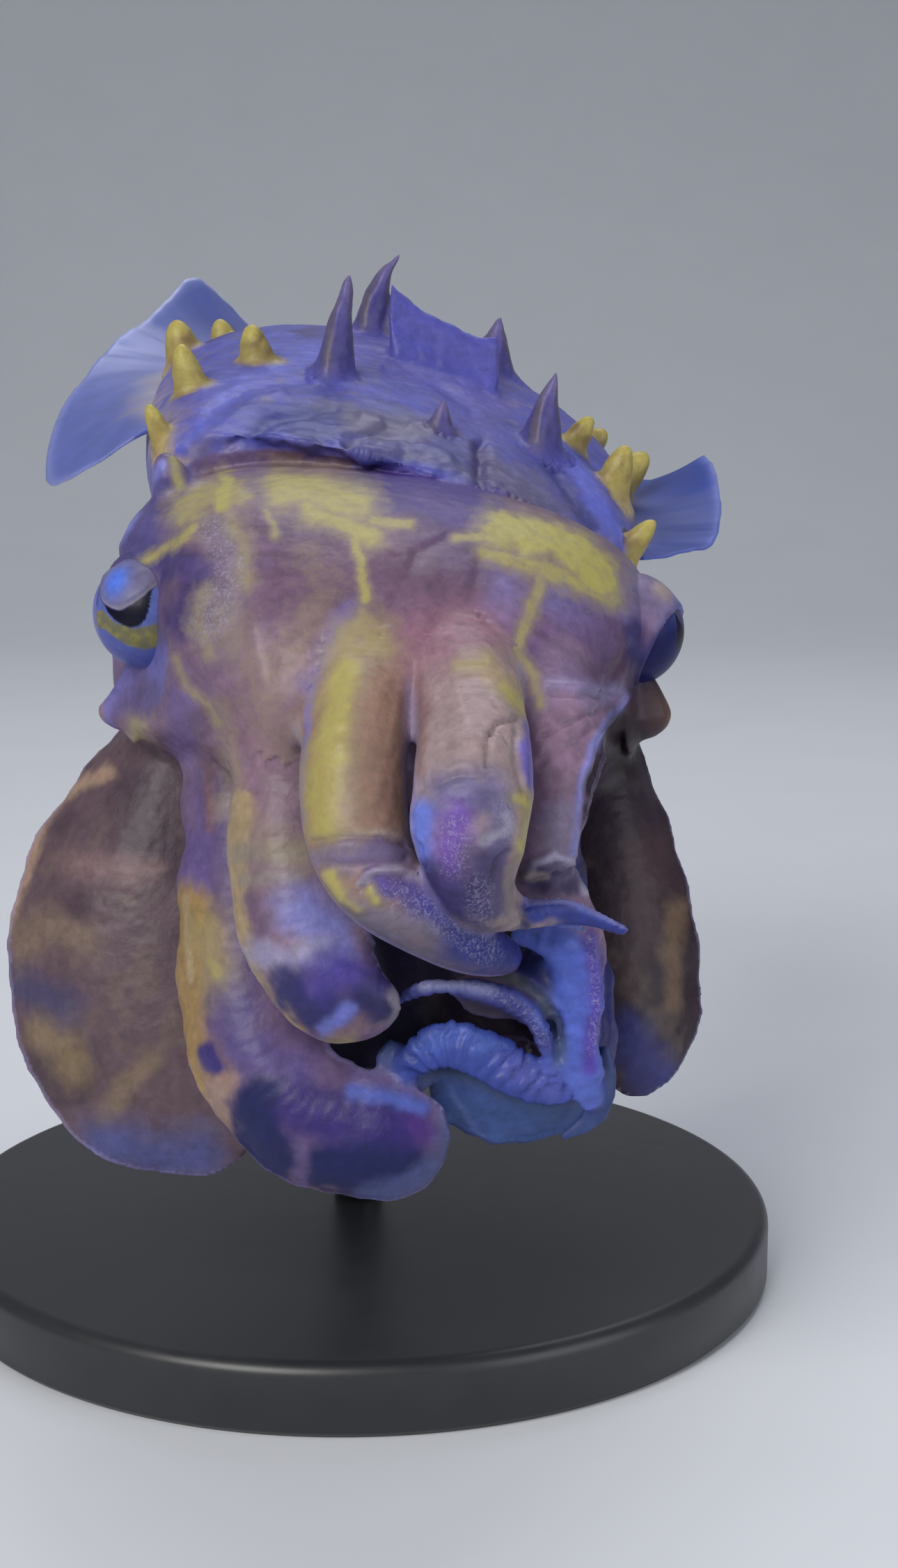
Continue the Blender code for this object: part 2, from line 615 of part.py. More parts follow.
def sheet_mesh(name, upper, lower):
    """A closed thin sheet between two grids of points, cut along the same diagonals."""
    rows, columns = len(upper), len(upper[0])
    points = [p for row in upper for p in row] + [p for row in lower for p in row]
    under = rows * columns
    faces = []
    for i in range(rows - 1):
        for j in range(columns - 1):
            a, b = i * columns + j, i * columns + j + 1
            c, d = a + columns, b + columns
            faces += [(a, b, d), (a, d, c)]
            faces += [(a + under, d + under, b + under), (a + under, c + under, d + under)]
    rim = [j for j in range(columns)]
    rim += [i * columns + columns - 1 for i in range(1, rows)]
    rim += [(rows - 1) * columns + j for j in range(columns - 2, -1, -1)]
    rim += [i * columns for i in range(rows - 2, 0, -1)]
    for a, b in zip(rim, rim[1:] + rim[:1]):
        faces += [(a, b, b + under), (a, b + under, a + under)]
    return closed_mesh(name, points, faces)


def arm_web():
    """A thin curtain that hangs from the mouth and closes the space within the arms."""
    rows, _ = curve_through(WEB_ROWS, WEB_STEP)
    half = np.array((0.0, WEB_THICK / 2, 0.0))
    front, rear = [], []
    for x, y, z, width, bow in rows:
        line = [np.array((x + u * width, y + bow * (1 - u * u), z)) for u in np.linspace(-1, 1, WEB_COLUMNS)]
        front.append([p - half for p in line])
        rear.append([p + half for p in line])
    return sheet_mesh("arm_web", front, rear)


def eyeball(name, centre, radius, fineness=3):
    made = bmesh.new()
    bmesh.ops.create_icosphere(made, subdivisions=fineness, radius=radius)
    bmesh.ops.translate(made, verts=made.verts, vec=centre)
    return object_of(name, made)


def lid(name, centre, look):
    """A fold round the eye, thicker above, as a closed ring."""
    look = unit(np.array(look, float))
    side = unit(np.cross(look, (0.0, 0.0, 1.0)))
    top = np.cross(side, look)
    points, faces = [], []
    for i in range(LID_STEPS):
        a = 2 * math.pi * i / LID_STEPS
        out = side * math.cos(a) + top * math.sin(a)
        thick = LID_THICK[0] + (LID_THICK[1] - LID_THICK[0]) * max(0.0, math.sin(a))
        middle = np.array(centre) + out * LID_RING + look * LID_OUT
        for j in range(LID_SIDES):
            b = 2 * math.pi * j / LID_SIDES
            points.append(middle + thick * (out * math.cos(b) + look * math.sin(b)))
            k, m = (i + 1) % LID_STEPS, (j + 1) % LID_SIDES
            faces.append((i * LID_SIDES + j, k * LID_SIDES + j, k * LID_SIDES + m, i * LID_SIDES + m))
    return closed_mesh(name, points, faces)


def round_rings(points, radii, sides):
    across, outward = frames_along(points, ((0.0, 0.0, 1.0), (0.0, 0.0, 1.0)))
    turns = [2 * math.pi * k / sides for k in range(sides)]
    return [[p + r * (a * math.cos(t) + n * math.sin(t)) for t in turns]
            for p, a, n, r in zip(points, across, outward, radii)]


def funnel():
    """The siphon: a tapered tube with a shallow hollow in its mouth."""
    rows, _ = curve_through(FUNNEL_ROWS, FUNNEL_STEP)
    mouth, inward = rows[-1, :3], unit(rows[-2, :3] - rows[-1, :3])
    rings = round_rings(rows[:, :3], rows[:, 3], FUNNEL_SIDES)
    rim = rings[-1]
    inner = 1 - FUNNEL_WALL / rows[-1, 3]
    for depth, share in ((0.0, inner), (FUNNEL_HOLLOW, FUNNEL_NARROW * inner)):
        rings.append([mouth + inward * depth + (p - mouth) * share for p in rim])
    return lofted("funnel", rings, FUNNEL_SIDES)


def apply_modifiers(body):
    made = bpy.data.meshes.new_from_object(body.evaluated_get(bpy.context.evaluated_depsgraph_get()))
    old = body.data
    body.modifiers.clear()
    body.data = made
    bpy.data.meshes.remove(old)


def combine(body, pieces, operation, solver="EXACT"):
    """Joins the pieces to the body, or cuts them out of it, and removes them where they were joined."""
    if not pieces:
        return
    group = bpy.data.collections.new("pieces")
    for piece in pieces:
        group.objects.link(piece)
    change = body.modifiers.new("pieces", "BOOLEAN")
    change.operation = operation
    change.operand_type = "COLLECTION"
    change.collection = group
    change.solver = solver
    apply_modifiers(body)
    bpy.data.collections.remove(group)
    if operation == "UNION":
        for piece in pieces:
            bpy.data.objects.remove(piece)


def keep_largest(body):
    """Keeps only the surface of the largest volume and cuts its faces into triangles."""
    solid = bmesh.new()
    solid.from_mesh(body.data)
    bmesh.ops.dissolve_degenerate(solid, dist=1e-4, edges=solid.edges)
    bmesh.ops.triangulate(solid, faces=solid.faces)
    shells = []
    left = set(solid.faces)
    while left:
        shell, front = set(), [left.pop()]
        while front:
            face = front.pop()
            shell.add(face)
            for edge in face.edges:
                for other in edge.link_faces:
                    if other in left:
                        left.discard(other)
                        front.append(other)
        volume = sum(f.verts[0].co.dot(f.verts[1].co.cross(f.verts[2].co)) for f in shell)
        shells.append((abs(volume), shell))
    largest = max(shells, key=lambda pair: pair[0])[1]
    bmesh.ops.delete(solid, geom=[f for f in solid.faces if f not in largest], context="FACES")
    solid.to_mesh(body.data)
    solid.free()


def clearance(bodies):
    """A test of whether a point lies inside any of the bodies or nearer to one than the room it needs."""
    trees = []
    for body in bodies:
        corners = [vertex.co[:] for vertex in body.data.vertices]
        trees.append(BVHTree.FromPolygons(corners, [face.vertices[:] for face in body.data.polygons]))

    def blocked(point, room):
        for tree in trees:
            near, normal, _, distance = tree.find_nearest(Vector(point))
            if distance < room or (Vector(point) - near).dot(normal) < 0:
                return True
        return False

    return blocked


def build_head(eye_cutters):
    head = head_core("head")
    lids = [lid(name + "_lid", *place) for name, place in EYES.items()]
    combine(head, head_papillae() + lids, "UNION")
    combine(head, eye_cutters, "DIFFERENCE")
    keep_largest(head)
    return head


def build_mantle(head_cutter, fin_cutters):
    mantle = mantle_core("mantle")
    sides = side_papillae()
    for piece in sides:
        combine(piece, fin_cutters, "DIFFERENCE")
        keep_largest(piece)
    combine(mantle, back_papillae() + sides, "UNION")
    combine(mantle, [head_cutter], "DIFFERENCE")
    keep_largest(mantle)
    return mantle


def build_arms(head_cutter, mantle_cutter, eye_cutters, others):
    """All arms in two lengths each, and their web. The first arms keep their shape, and each later one is cut
    clear of them."""
    whole = {name: arm_blade(name + "_whole", arm) for name, arm in ARMS.items()}
    cutters = [head_cutter, mantle_cutter] + eye_cutters
    made = []
    for name, arm in ARMS.items():
        near = [body for other, body in whole.items() if other != name]
        suckers = arm_suckers(name, arm, clearance(near + others))
        count = len(arm_line(arm)[0])
        parted = split_index(arm, arm_line(arm)[0])
        spans = {"base": (0, parted + 1, 0.0), "tip": (parted, count, GAP)}
        for part, (first, last, gap) in spans.items():
            body = arm_blade(f"{name}_{part}", arm, first, last, gap)
            combine(body, cutters, "DIFFERENCE")
            keep_largest(body)
            combine(body, cups(body.name + "_sucker", suckers[part]), "UNION")
            keep_largest(body)
            made.append(body)
        cutters.append(arm_blade(name + "_cutter", arm, grow=GAP))
    web = arm_web()
    combine(web, cutters, "DIFFERENCE")
    keep_largest(web)
    for body in list(whole.values()) + cutters[2 + len(eye_cutters):]:
        bpy.data.objects.remove(body)
    return made + [web]


def stand_base():
    """A round foot with a bevelled upper edge, its underside at z = 0."""
    made = bmesh.new()
    bmesh.ops.create_cone(made, cap_ends=True, segments=BASE_SIDES, radius1=BASE_RADIUS, radius2=BASE_RADIUS,
                          depth=BASE_THICK)
    bmesh.ops.translate(made, verts=made.verts, vec=(0.0, 0.0, BASE_THICK / 2))
    upper = [e for e in made.edges if all(v.co.z > BASE_THICK / 2 for v in e.verts)]
    bmesh.ops.bevel(made, geom=upper, offset=BASE_BEVEL, segments=2, profile=0.5, affect="EDGES")
    return object_of("stand_base", made)


def stand_rod():
    """The rod up from the foot, long enough to end inside the belly before it is cut clear of it."""
    made = bmesh.new()
    length = ROD_TOP - BASE_THICK - GAP
    bmesh.ops.create_cone(made, cap_ends=True, segments=ROD_SIDES, radius1=ROD_RADIUS, radius2=ROD_RADIUS,
                          depth=length)
    bmesh.ops.translate(made, verts=made.verts, vec=(0.0, 0.0, BASE_THICK + GAP + length / 2))
    return object_of("stand_rod", made)


def object_of(name, solid):
    mesh = bpy.data.meshes.new(name)
    solid.to_mesh(mesh)
    solid.free()
    made = bpy.data.objects.new(name, mesh)
    bpy.context.scene.collection.objects.link(made)
    return made


def paint(body, colour, roughness):
    material = bpy.data.materials.new(body.name)
    material.use_nodes = True
    shader = material.node_tree.nodes["Principled BSDF"]
    shader.inputs["Base Color"].default_value = (*colour, 1.0)
    shader.inputs["Roughness"].default_value = roughness
    shader.inputs["Metallic"].default_value = 0.0
    body.data.materials.clear()
    body.data.materials.append(material)
    body.data.shade_flat()


def finish_of(name):
    """Colour and roughness of a node, from the first word of its name that has its own."""
    return next(look for word, look in FINISHES.items() if word in name)


def place_on_stand(bodies):
    """Turns millimetres into metres, tips the animal from the viewer's frame and lifts it over its base."""
    holder = bpy.data.objects.new("animal", None)
    bpy.context.scene.collection.objects.link(holder)
    holder.rotation_euler.x = -VIEW_TILT
    holder.location = Vector((-BASE_CENTRE[0], -BASE_CENTRE[1], LIFT)) * METRES
    for body in bodies:
        body.data.transform(Matrix.Scale(METRES, 4))
        body.parent = holder
    bpy.context.view_layer.update()


def clear_scene():
    for old in list(bpy.data.objects):
        bpy.data.objects.remove(old)


def main():
    clear_scene()
    random.seed(SEED)
    head_cutter = head_core("head_cutter", GAP)
    mantle_cutter = mantle_core("mantle_cutter", GAP)
    eye_cutters = [eyeball(name + "_cutter", centre, SOCKET_RADIUS, 2) for name, (centre, _) in EYES.items()]
    fin_cutters = [fin(name + "_cutter", rows, GAP) for name, rows in FIN_ROWS.items()]

    head = build_head(eye_cutters)
    mantle = build_mantle(head_cutter, fin_cutters)
    fins = [fin(name, rows) for name, rows in FIN_ROWS.items()]
    eyes = [eyeball(name, centre, EYE_RADIUS) for name, (centre, _) in EYES.items()]
    arms = build_arms(head_cutter, mantle_cutter, eye_cutters, [head, mantle])
    siphon = funnel()
    combine(siphon, [head_cutter, mantle_cutter], "DIFFERENCE")
    keep_largest(siphon)

    animal = [head, mantle, siphon] + fins + eyes + arms
    place_on_stand(animal + [mantle_cutter])
    base, rod = stand_base(), stand_rod()
    for body in (base, rod):
        body.data.transform(Matrix.Scale(METRES, 4))
    combine(rod, [mantle_cutter], "DIFFERENCE")
    keep_largest(rod)

    for cutter in [head_cutter, mantle_cutter] + eye_cutters + fin_cutters:
        bpy.data.objects.remove(cutter)
    for body in animal + [base, rod]:
        paint(body, *finish_of(body.name))


main()
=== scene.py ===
"""Looks of a flamboyant cuttlefish, life size, hovering head-on over a plain display stand.

Shapes are laid out in millimetres in the viewer's own frame, x to the right, y away and z up, with the origin
between the eyes, and are then tipped and lifted onto the stand. The markings of the front are placed by where
they lie in the photograph's frame of 1290 x 2252 pixels and are kept on the skin as attributes.
"""

import math

import bmesh
import bpy
import numpy as np
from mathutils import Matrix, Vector
from mathutils.kdtree import KDTree


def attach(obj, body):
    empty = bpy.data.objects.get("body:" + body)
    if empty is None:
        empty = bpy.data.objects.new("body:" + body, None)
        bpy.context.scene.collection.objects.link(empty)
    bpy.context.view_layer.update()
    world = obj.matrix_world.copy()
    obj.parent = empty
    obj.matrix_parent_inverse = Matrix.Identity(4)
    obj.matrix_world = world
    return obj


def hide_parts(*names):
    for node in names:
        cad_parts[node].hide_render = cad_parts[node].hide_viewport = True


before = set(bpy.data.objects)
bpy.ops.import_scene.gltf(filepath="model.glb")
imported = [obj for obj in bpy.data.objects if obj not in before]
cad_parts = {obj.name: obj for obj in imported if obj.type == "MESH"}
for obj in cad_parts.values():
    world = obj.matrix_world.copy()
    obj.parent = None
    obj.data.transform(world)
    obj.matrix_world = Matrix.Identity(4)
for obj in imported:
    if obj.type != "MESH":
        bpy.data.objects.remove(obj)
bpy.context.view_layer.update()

MM = 0.001
VIEW_TILT = math.radians(10)
LIFT = 62.0
BASE_CENTRE = (-3.0, 26.0)

# The viewer: place in the viewer's frame, lens, and the photograph's size and scale at y = 0.
EYE_POINT = (5.25, -170.0, -13.44)
LENS = 51.76
SENSOR = 36.0
PHOTO_CENTRE = (645.0, 1126.0)
MM_PER_PIXEL = 0.0525

# Sizes shared with the solids.
MANTLE_ORIGIN = (0.6, 10.0, 8.4)
MANTLE_PITCH = math.radians(19)
MANTLE_ROLL = math.radians(16)
MANTLE_LOBE = 4.0
LOBE_LENGTH = 14.0
MANTLE_ROWS = (
    (-3.0, 17.6, 5.2, 13.0),
    (4.0, 19.8, 6.8, 14.0),
    (14.0, 21.4, 8.2, 15.0),
    (26.0, 21.8, 9.0, 15.4),
    (38.0, 20.4, 8.2, 14.4),
    (50.0, 16.6, 6.2, 12.0),
    (60.0, 11.2, 3.9, 8.2),
    (67.0, 6.0, 2.2, 4.4),
    (70.0, 2.6, 1.2, 2.0),
)
NECK_ROLL = math.radians(15)
HEAD_ROLL = math.radians(8)
HEAD_SQUARE_ABOVE = 0.8
HEAD_SQUARE_BELOW = 0.42
HEAD_ROWS = (
    (1.5, 22.0, 9.0, 12.5, 5.5, 7.5),
    (1.2, 15.0, 6.0, 16.6, 6.8, 11.0),
    (0.9, 9.0, 2.6, 19.6, 8.6, 13.0),
    (0.5, 3.0, 0.2, 20.6, 10.0, 14.0),
    (0.4, -2.0, -2.4, 19.6, 9.9, 13.0),
    (0.6, -7.0, -5.6, 16.4, 8.6, 10.6),
    (0.8, -11.0, -9.2, 11.6, 6.2, 7.6),
    (1.0, -13.2, -12.0, 7.0, 3.6, 4.4),
)
BACK_MIDLINE = 2.0
BACK_PAPILLAE = (
    (-9.2, 11.0, 8.6, 1.9, 2.7, -0.9, -0.6, 0.3, 0.62),
    (8.9, 9.5, 6.6, 2.1, 2.8, -0.6, -0.4, 0.4, 0.75),
    (-6.9, 35.0, 7.3, 1.9, 3.4, 0.6, -0.8, 2.6, 0.62),
    (-3.6, 35.0, 4.1, 4.4, 3.2, -2.2, 0.0, 0.3, 0.8),
    (4.9, 33.0, 5.2, 2.2, 3.2, -0.9, -0.4, 0.4, 0.65),
    (-3.8, 54.0, 4.2, 1.9, 2.6, -0.4, 1.0, 0.5, 0.7),
    (4.4, 54.0, 4.2, 1.9, 2.6, 0.2, 1.0, 0.5, 0.7),
    (0.3, 2.5, 3.0, 1.9, 1.6, -0.5, 0.2, 0.2, 0.85),
)
SIDE_PAPILLAE = {
    -1: (
        (0.5, 2.0, 3.4, 1.2, 0.75),
        (8.0, 28.0, 4.0, 1.7, 0.55),
        (14.0, 50.0, 3.1, 1.8, 0.5),
        (27.0, 18.0, 3.4, 2.0, 0.6),
        (42.0, 18.0, 2.6, 1.8, 0.6),
        (55.0, 18.0, 1.8, 1.3, 0.6),
    ),
    1: (
        (4.5, 8.0, 3.7, 1.4, 0.45),
        (12.0, 32.0, 4.3, 1.8, 0.05),
        (16.0, 49.0, 3.2, 1.5, 0.3),
        (28.0, 18.0, 3.4, 2.0, 0.6),
        (42.0, 18.0, 2.6, 1.8, 0.6),
        (55.0, 18.0, 1.8, 1.3, 0.6),
    ),
}
SIDE_PAPILLA_TAPER = 0.5
# The sail between the tallest papilla of the back and its neighbour: pixels along its upper edge, its depth,
# height and half thickness in millimetres, and how much thicker it grows towards its foot.
SAIL_TOP = ((560, 402), (586, 428), (610, 444), (640, 458), (668, 474), (692, 484), (716, 480))
SAIL_DEPTH = 27.0
SAIL_HEIGHT = 8.0
SAIL_THICK = 0.4
SAIL_SPREAD = 5.0
SAIL_SIDES = 20
HEAD_PAPILLAE = (
    ((-15.0, -1.0, 8.2), (-0.35, -0.4, 0.9), 3.5, 2.0),
    ((17.4, 0.0, 2.6), (0.6, -0.5, 0.8), 1.5, 2.6),
    ((-19.4, 0.5, -8.0), (-1.0, -0.2, 0.1), 1.9, 1.8),
    ((20.4, 2.5, -8.0), (1.0, -0.2, -0.1), 1.9, 2.5),
)
HEAD_PAPILLA_TAPER = 0.5
PAPILLA_TIP = 0.14
PAPILLA_SUNK = 1.0
PAPILLA_FLARE = 0.45
PAPILLA_FLARE_FADE = 3.5
BACK_TAPER_MORE = 0.25
BACK_FLUTES = 0.13
SIDE_FLUTES = 0.08
FIN_ROWS = {
    "fin_right": (
        (7.0, 1.5, -1.5), (12.5, 6.4, -8.4), (20.0, 8.2, -6.8), (32.0, 8.2, -2.2), (44.0, 7.4, 2.8),
        (52.0, 7.4, 6.2), (59.0, 4.8, 1.5), (66.0, 2.6, 0.2), (70.0, 1.4, 0.4),
    ),
    "fin_left": (
        (7.0, 1.5, 0.5), (13.0, 6.2, 1.6), (21.5, 7.6, 3.2), (31.0, 6.8, 6.4), (39.0, 8.4, 2.6),
        (48.0, 8.0, -2.6), (57.0, 6.4, -1.0), (65.0, 3.6, 1.4), (70.0, 1.4, 0.4),
    ),
}
EYE_RADIUS = 4.3
EYES = {
    "eye_right": (-16.8, -3.0, -0.7),
    "eye_left": (18.9, 2.2, -1.7),
}
FUNNEL_ROWS = (
    (0.9, 16.0, -4.5, 6.4),
    (0.9, 10.0, -10.0, 5.2),
    (0.9, 4.5, -14.6, 3.6),
    (0.9, 1.0, -17.4, 2.6),
)
FUNNEL_SIDES = 40
FUNNEL_WALL = 0.7
ARM_MARGIN = 0.27
ARM_LEAST = 0.32
TIP_WIDTH = 0.3
TIP_DEPTH = 0.6
ORAL_DEPTH = 0.7
ARMS = {
    "arm_1_right": {
        "rows": (
            (-0.6, -2.0, 0.5, 3.3, 2.8),
            (-1.2, -12.0, -4.2, 3.7, 3.2),
            (-1.2, -17.5, -10.5, 3.7, 3.2),
            (-1.0, -19.5, -16.0, 3.6, 3.0),
            (0.4, -20.0, -19.6, 3.2, 2.6),
            (3.6, -19.0, -22.3, 2.7, 2.3),
            (7.0, -16.5, -24.4, 2.1, 1.8),
            (10.0, -13.5, -25.6, 1.1, 1.0),
        ),
        "faces": ((-0.1, -0.6, 0.8), (-0.1, -1.0, 0.2), (-0.2, -1.0, 0.3)),
        "keel": 0.55, "cup": 0.1,
    },
    "arm_1_left": {
        "rows": (
            (5.5, -2.0, -0.4, 3.3, 2.8),
            (6.2, -12.0, -5.0, 3.7, 3.2),
            (6.8, -17.8, -9.8, 3.8, 3.3),
            (6.8, -22.0, -13.2, 3.9, 3.3),
            (6.6, -22.5, -17.2, 3.7, 3.0),
            (7.4, -20.5, -20.6, 2.5, 2.2),
            (10.0, -17.5, -22.2, 1.2, 1.1),
            (13.4, -15.8, -22.2, 0.9, 0.8),
            (17.6, -15.0, -23.6, 0.35, 0.3),
        ),
        "faces": ((0.1, -0.6, 0.8), (0.0, -1.0, 0.1), (0.2, -0.6, -0.7)),
        "keel": 0.55, "cup": 0.1,
    },
    "arm_2_right": {
        "rows": (
            (-4.5, -1.0, -1.0, 4.0, 2.6),
            (-6.4, -8.5, -6.0, 4.3, 2.4),
            (-6.4, -11.5, -12.5, 4.5, 2.2),
            (-6.2, -13.0, -18.5, 4.6, 2.1),
            (-5.0, -14.0, -24.2, 4.6, 2.0),
            (-2.6, -14.6, -27.7, 4.2, 1.9),
            (-0.2, -14.4, -28.7, 3.6, 1.6),
            (1.8, -13.8, -28.6, 2.5, 1.2),
        ),
        "faces": ((-0.4, -0.7, 0.6), (-0.3, -1.0, 0.0), (0.0, -1.0, -0.4)),
        "keel": 0.9, "cup": 0.25,
    },
    "arm_3_right": {
        "rows": (
            (-8.0, 1.0, -3.5, 4.2, 2.4),
            (-11.0, -3.0, -9.5, 4.6, 2.3),
            (-10.6, -5.5, -17.0, 5.0, 2.1),
            (-10.4, -7.0, -25.0, 5.2, 2.0),
            (-9.2, -8.5, -32.0, 5.2, 2.0),
            (-5.4, -9.8, -37.0, 5.0, 1.9),
            (0.4, -10.6, -38.6, 4.8, 1.7),
            (5.2, -10.6, -37.4, 4.2, 1.3),
        ),
        "faces": ((-0.6, -0.7, 0.4), (-0.4, -1.0, 0.0), (0.1, -1.0, -0.2)),
        "keel": 0.9, "cup": 0.25,
    },
    "arm_4_right": {
        "rows": (
            (-13.6, 6.6, -3.0, 5.0, 2.8),
            (-15.6, 5.6, -9.0, 5.4, 2.6),
            (-18.0, 4.4, -14.5, 7.0, 2.2),
            (-19.8, 3.4, -19.8, 8.7, 1.9),
            (-20.5, 2.7, -25.0, 9.3, 1.7),
            (-19.8, 2.2, -30.0, 9.6, 1.6),
            (-17.5, 1.8, -34.8, 9.0, 1.5),
            (-13.3, 1.4, -38.0, 6.6, 1.3),
            (-9.0, 1.0, -39.6, 4.8, 1.1),
        ),
        "faces": ((-0.5, -0.8, 0.2), (-0.3, -1.0, 0.0), (-0.1, -1.0, -0.1)),
        "keel": 1.4, "cup": 0.12,
    },
    "arm_2_left": {
        "rows": (
            (10.5, -1.0, -1.0, 4.0, 2.6),
            (12.4, -8.5, -5.0, 4.2, 2.5),
            (12.8, -12.5, -10.0, 4.0, 2.3),
            (12.2, -14.3, -15.0, 3.0, 2.1),
            (11.8, -13.8, -18.6, 2.6, 1.9),
            (12.6, -11.0, -21.4, 2.7, 1.7),
            (14.0, -9.7, -25.0, 2.9, 1.6),
            (11.8, -10.4, -27.5, 2.6, 1.4),
            (8.4, -11.5, -28.1, 1.9, 1.1),
            (5.4, -12.2, -27.7, 1.2, 0.8),
        ),
        "faces": ((0.4, -0.7, 0.6), (0.3, -1.0, 0.1), (0.3, -0.8, 0.6)),
        "keel": 0.8, "cup": 0.2,
    },
    "arm_3_left": {
        "rows": (
            (12.0, 1.0, -3.5, 4.2, 2.4),
            (13.0, -3.0, -9.5, 4.0, 2.2),
            (12.4, -5.0, -16.0, 3.2, 2.0),
            (13.2, -5.5, -22.0, 2.9, 1.9),
            (14.8, -6.0, -28.0, 2.8, 1.8),
            (14.6, -6.6, -33.0, 3.2, 1.7),
            (12.0, -7.4, -35.8, 4.0, 1.5),
            (7.8, -8.0, -35.3, 4.1, 1.3),
            (4.0, -8.6, -33.8, 3.2, 1.0),
        ),
        "faces": ((0.6, -0.7, 0.4), (0.5, -1.0, 0.0), (0.2, -1.0, -0.4)),
        "keel": 0.8, "cup": 0.2,
    },
    "arm_4_left": {
        "rows": (
            (16.2, 7.0, -4.0, 4.6, 2.6),
            (16.9, 5.8, -11.0, 4.2, 2.3),
            (17.9, 4.4, -17.0, 5.2, 2.0),
            (18.8, 3.0, -25.0, 6.2, 1.7),
            (19.4, 2.4, -31.0, 5.8, 1.6),
            (19.6, 2.0, -34.6, 4.6, 1.4),
            (19.6, 1.8, -37.2, 3.0, 1.0),
        ),
        "faces": ((0.5, -0.8, 0.2), (0.3, -1.0, 0.0), (0.3, -1.0, -0.1)),
        "keel": 1.4, "cup": 0.12,
    },
}

WEB_ROWS = (
    (2.4, -6.0, -13.5, 6.4, 0.2),
    (2.4, -4.8, -18.0, 8.6, 0.8),
    (2.6, -5.1, -24.0, 9.2, 1.2),
    (3.8, -5.4, -30.0, 9.8, 1.0),
    (4.6, -4.9, -34.5, 10.0, 0.4),
)
WEB_THICK = 0.9
BASE_RADIUS = 37.0
BASE_THICK = 6.0
BASE_BEVEL = 1.2
FOOT_BEVEL = 0.6
ROD_GAP = 0.3
ROD_RADIUS = 2.2

# How finely the skin is made, and how far its joins are smoothed, in millimetres.
FINE_STEP = 0.4
SIDE_POINTS = 25
LIP_STEP = 0.25
WEB_STEP = 0.8
BODY_SIDES = 160
PAPILLA_SIDES = 30
PAPILLA_RINGS = 26
SAIL_RINGS = 40
BODY_STEP = 0.7
VOXEL = 0.22
JOIN_REACH = 1.6
JOIN_SPREAD = 1.4
ROOT_REACH = 3.0
ROOT_SPREAD = 2.4
SKIN_SPREAD = 0.34

# Thin folds round the mouth, which lie on the curled ends of the left arms: rows of where the middle line
# shows in the photograph, its depth, half width and half depth in millimetres.
LIPS = {
    "lip_band": (
        (735, 1338, -11.6, 0.8, 0.7),
        (788, 1350, -12.0, 1.2, 0.9),
        (824, 1388, -11.9, 1.5, 1.0),
        (832, 1440, -11.3, 1.5, 1.0),
        (830, 1492, -10.7, 1.4, 0.9),
        (838, 1545, -10.2, 1.3, 0.8),
        (852, 1592, -9.6, 0.8, 0.6),
    ),
    "lip_inner": (
        (566, 1440, -10.6, 0.3, 0.3),
        (604, 1421, -12.2, 0.5, 0.5),
        (650, 1417, -13.0, 0.6, 0.6),
        (700, 1424, -13.1, 0.75, 0.75),
        (742, 1440, -12.7, 0.75, 0.75),
        (770, 1466, -12.1, 0.7, 0.7),
        (786, 1504, -11.3, 0.65, 0.65),
        (796, 1548, -10.5, 0.5, 0.5),
    ),
    "lip_lower": (
        (580, 1556, -10.2, 0.7, 0.45),
        (598, 1520, -10.9, 1.3, 0.55),
        (644, 1500, -11.4, 1.65, 0.6),
        (694, 1514, -11.3, 1.75, 0.6),
        (740, 1540, -10.9, 1.7, 0.6),
        (788, 1562, -10.3, 1.35, 0.55),
        (822, 1572, -10.0, 0.7, 0.5),
    ),
    "lip_frill": (
        (738, 1322, -14.6, 0.4, 0.4),
        (780, 1322, -14.7, 0.5, 0.5),
        (816, 1326, -14.6, 0.45, 0.45),
        (842, 1336, -14.2, 0.3, 0.3),
    ),
    "lip_corner": (
        (866, 1500, -8.8, 0.5, 0.35),
        (868, 1544, -8.8, 0.9, 0.4),
        (862, 1584, -9.0, 1.0, 0.4),
        (842, 1612, -8.8, 0.8, 0.35),
        (806, 1634, -8.4, 0.3, 0.25),
    ),
    "lip_bridge": (
        (548, 1506, -10.2, 1.0, 0.5),
        (578, 1530, -9.6, 1.6, 0.5),
        (616, 1560, -9.0, 1.2, 0.5),
    ),
}
# The fingers across each fold: how high they stand and how far apart, in millimetres.
LIP_FINGERS = {
    "lip_band": (0.10, 1.6),
    "lip_inner": (0.13, 0.95),
    "lip_lower": (0.24, 1.15),
    "lip_frill": (0.16, 0.8),
    "lip_bridge": (0.05, 1.2),
}

# Colours are given as they look in the photograph, and the model keeps this share of their light.
KEPT_LIGHT = 0.88
DARKEST = 0.002


def seen(red, green, blue):
    """The light that a colour on screen stands for, as much of it as the model keeps."""
    look = np.array((red, green, blue)) / 255
    return np.where(look <= 0.04045, look / 12.92, ((look + 0.055) / 1.055) ** 2.4) * KEPT_LIGHT


YELLOW = seen(160, 148, 84)
BRIGHT_YELLOW = seen(178, 166, 86)
OCHRE = seen(148, 126, 74)
CREAM = seen(168, 152, 130)
MAUVE = seen(108, 84, 106)
PINK = seen(132, 102, 124)
ROSE = seen(134, 94, 112)
PALE_LILAC = seen(150, 142, 190)
MAROON = seen(78, 50, 78)
PURPLE = seen(82, 72, 126)
DEEP_PURPLE = seen(64, 54, 104)
BROWN = seen(80, 62, 70)
TAN = seen(136, 108, 98)
SHELL = seen(148, 130, 132)
VIOLET = seen(80, 82, 168)
GREY_BLUE = seen(84, 84, 132)
NAVY = seen(18, 26, 78)
LEAF = seen(90, 72, 80)
DARK_LEAF = seen(50, 36, 50)
SEA = seen(56, 80, 134)

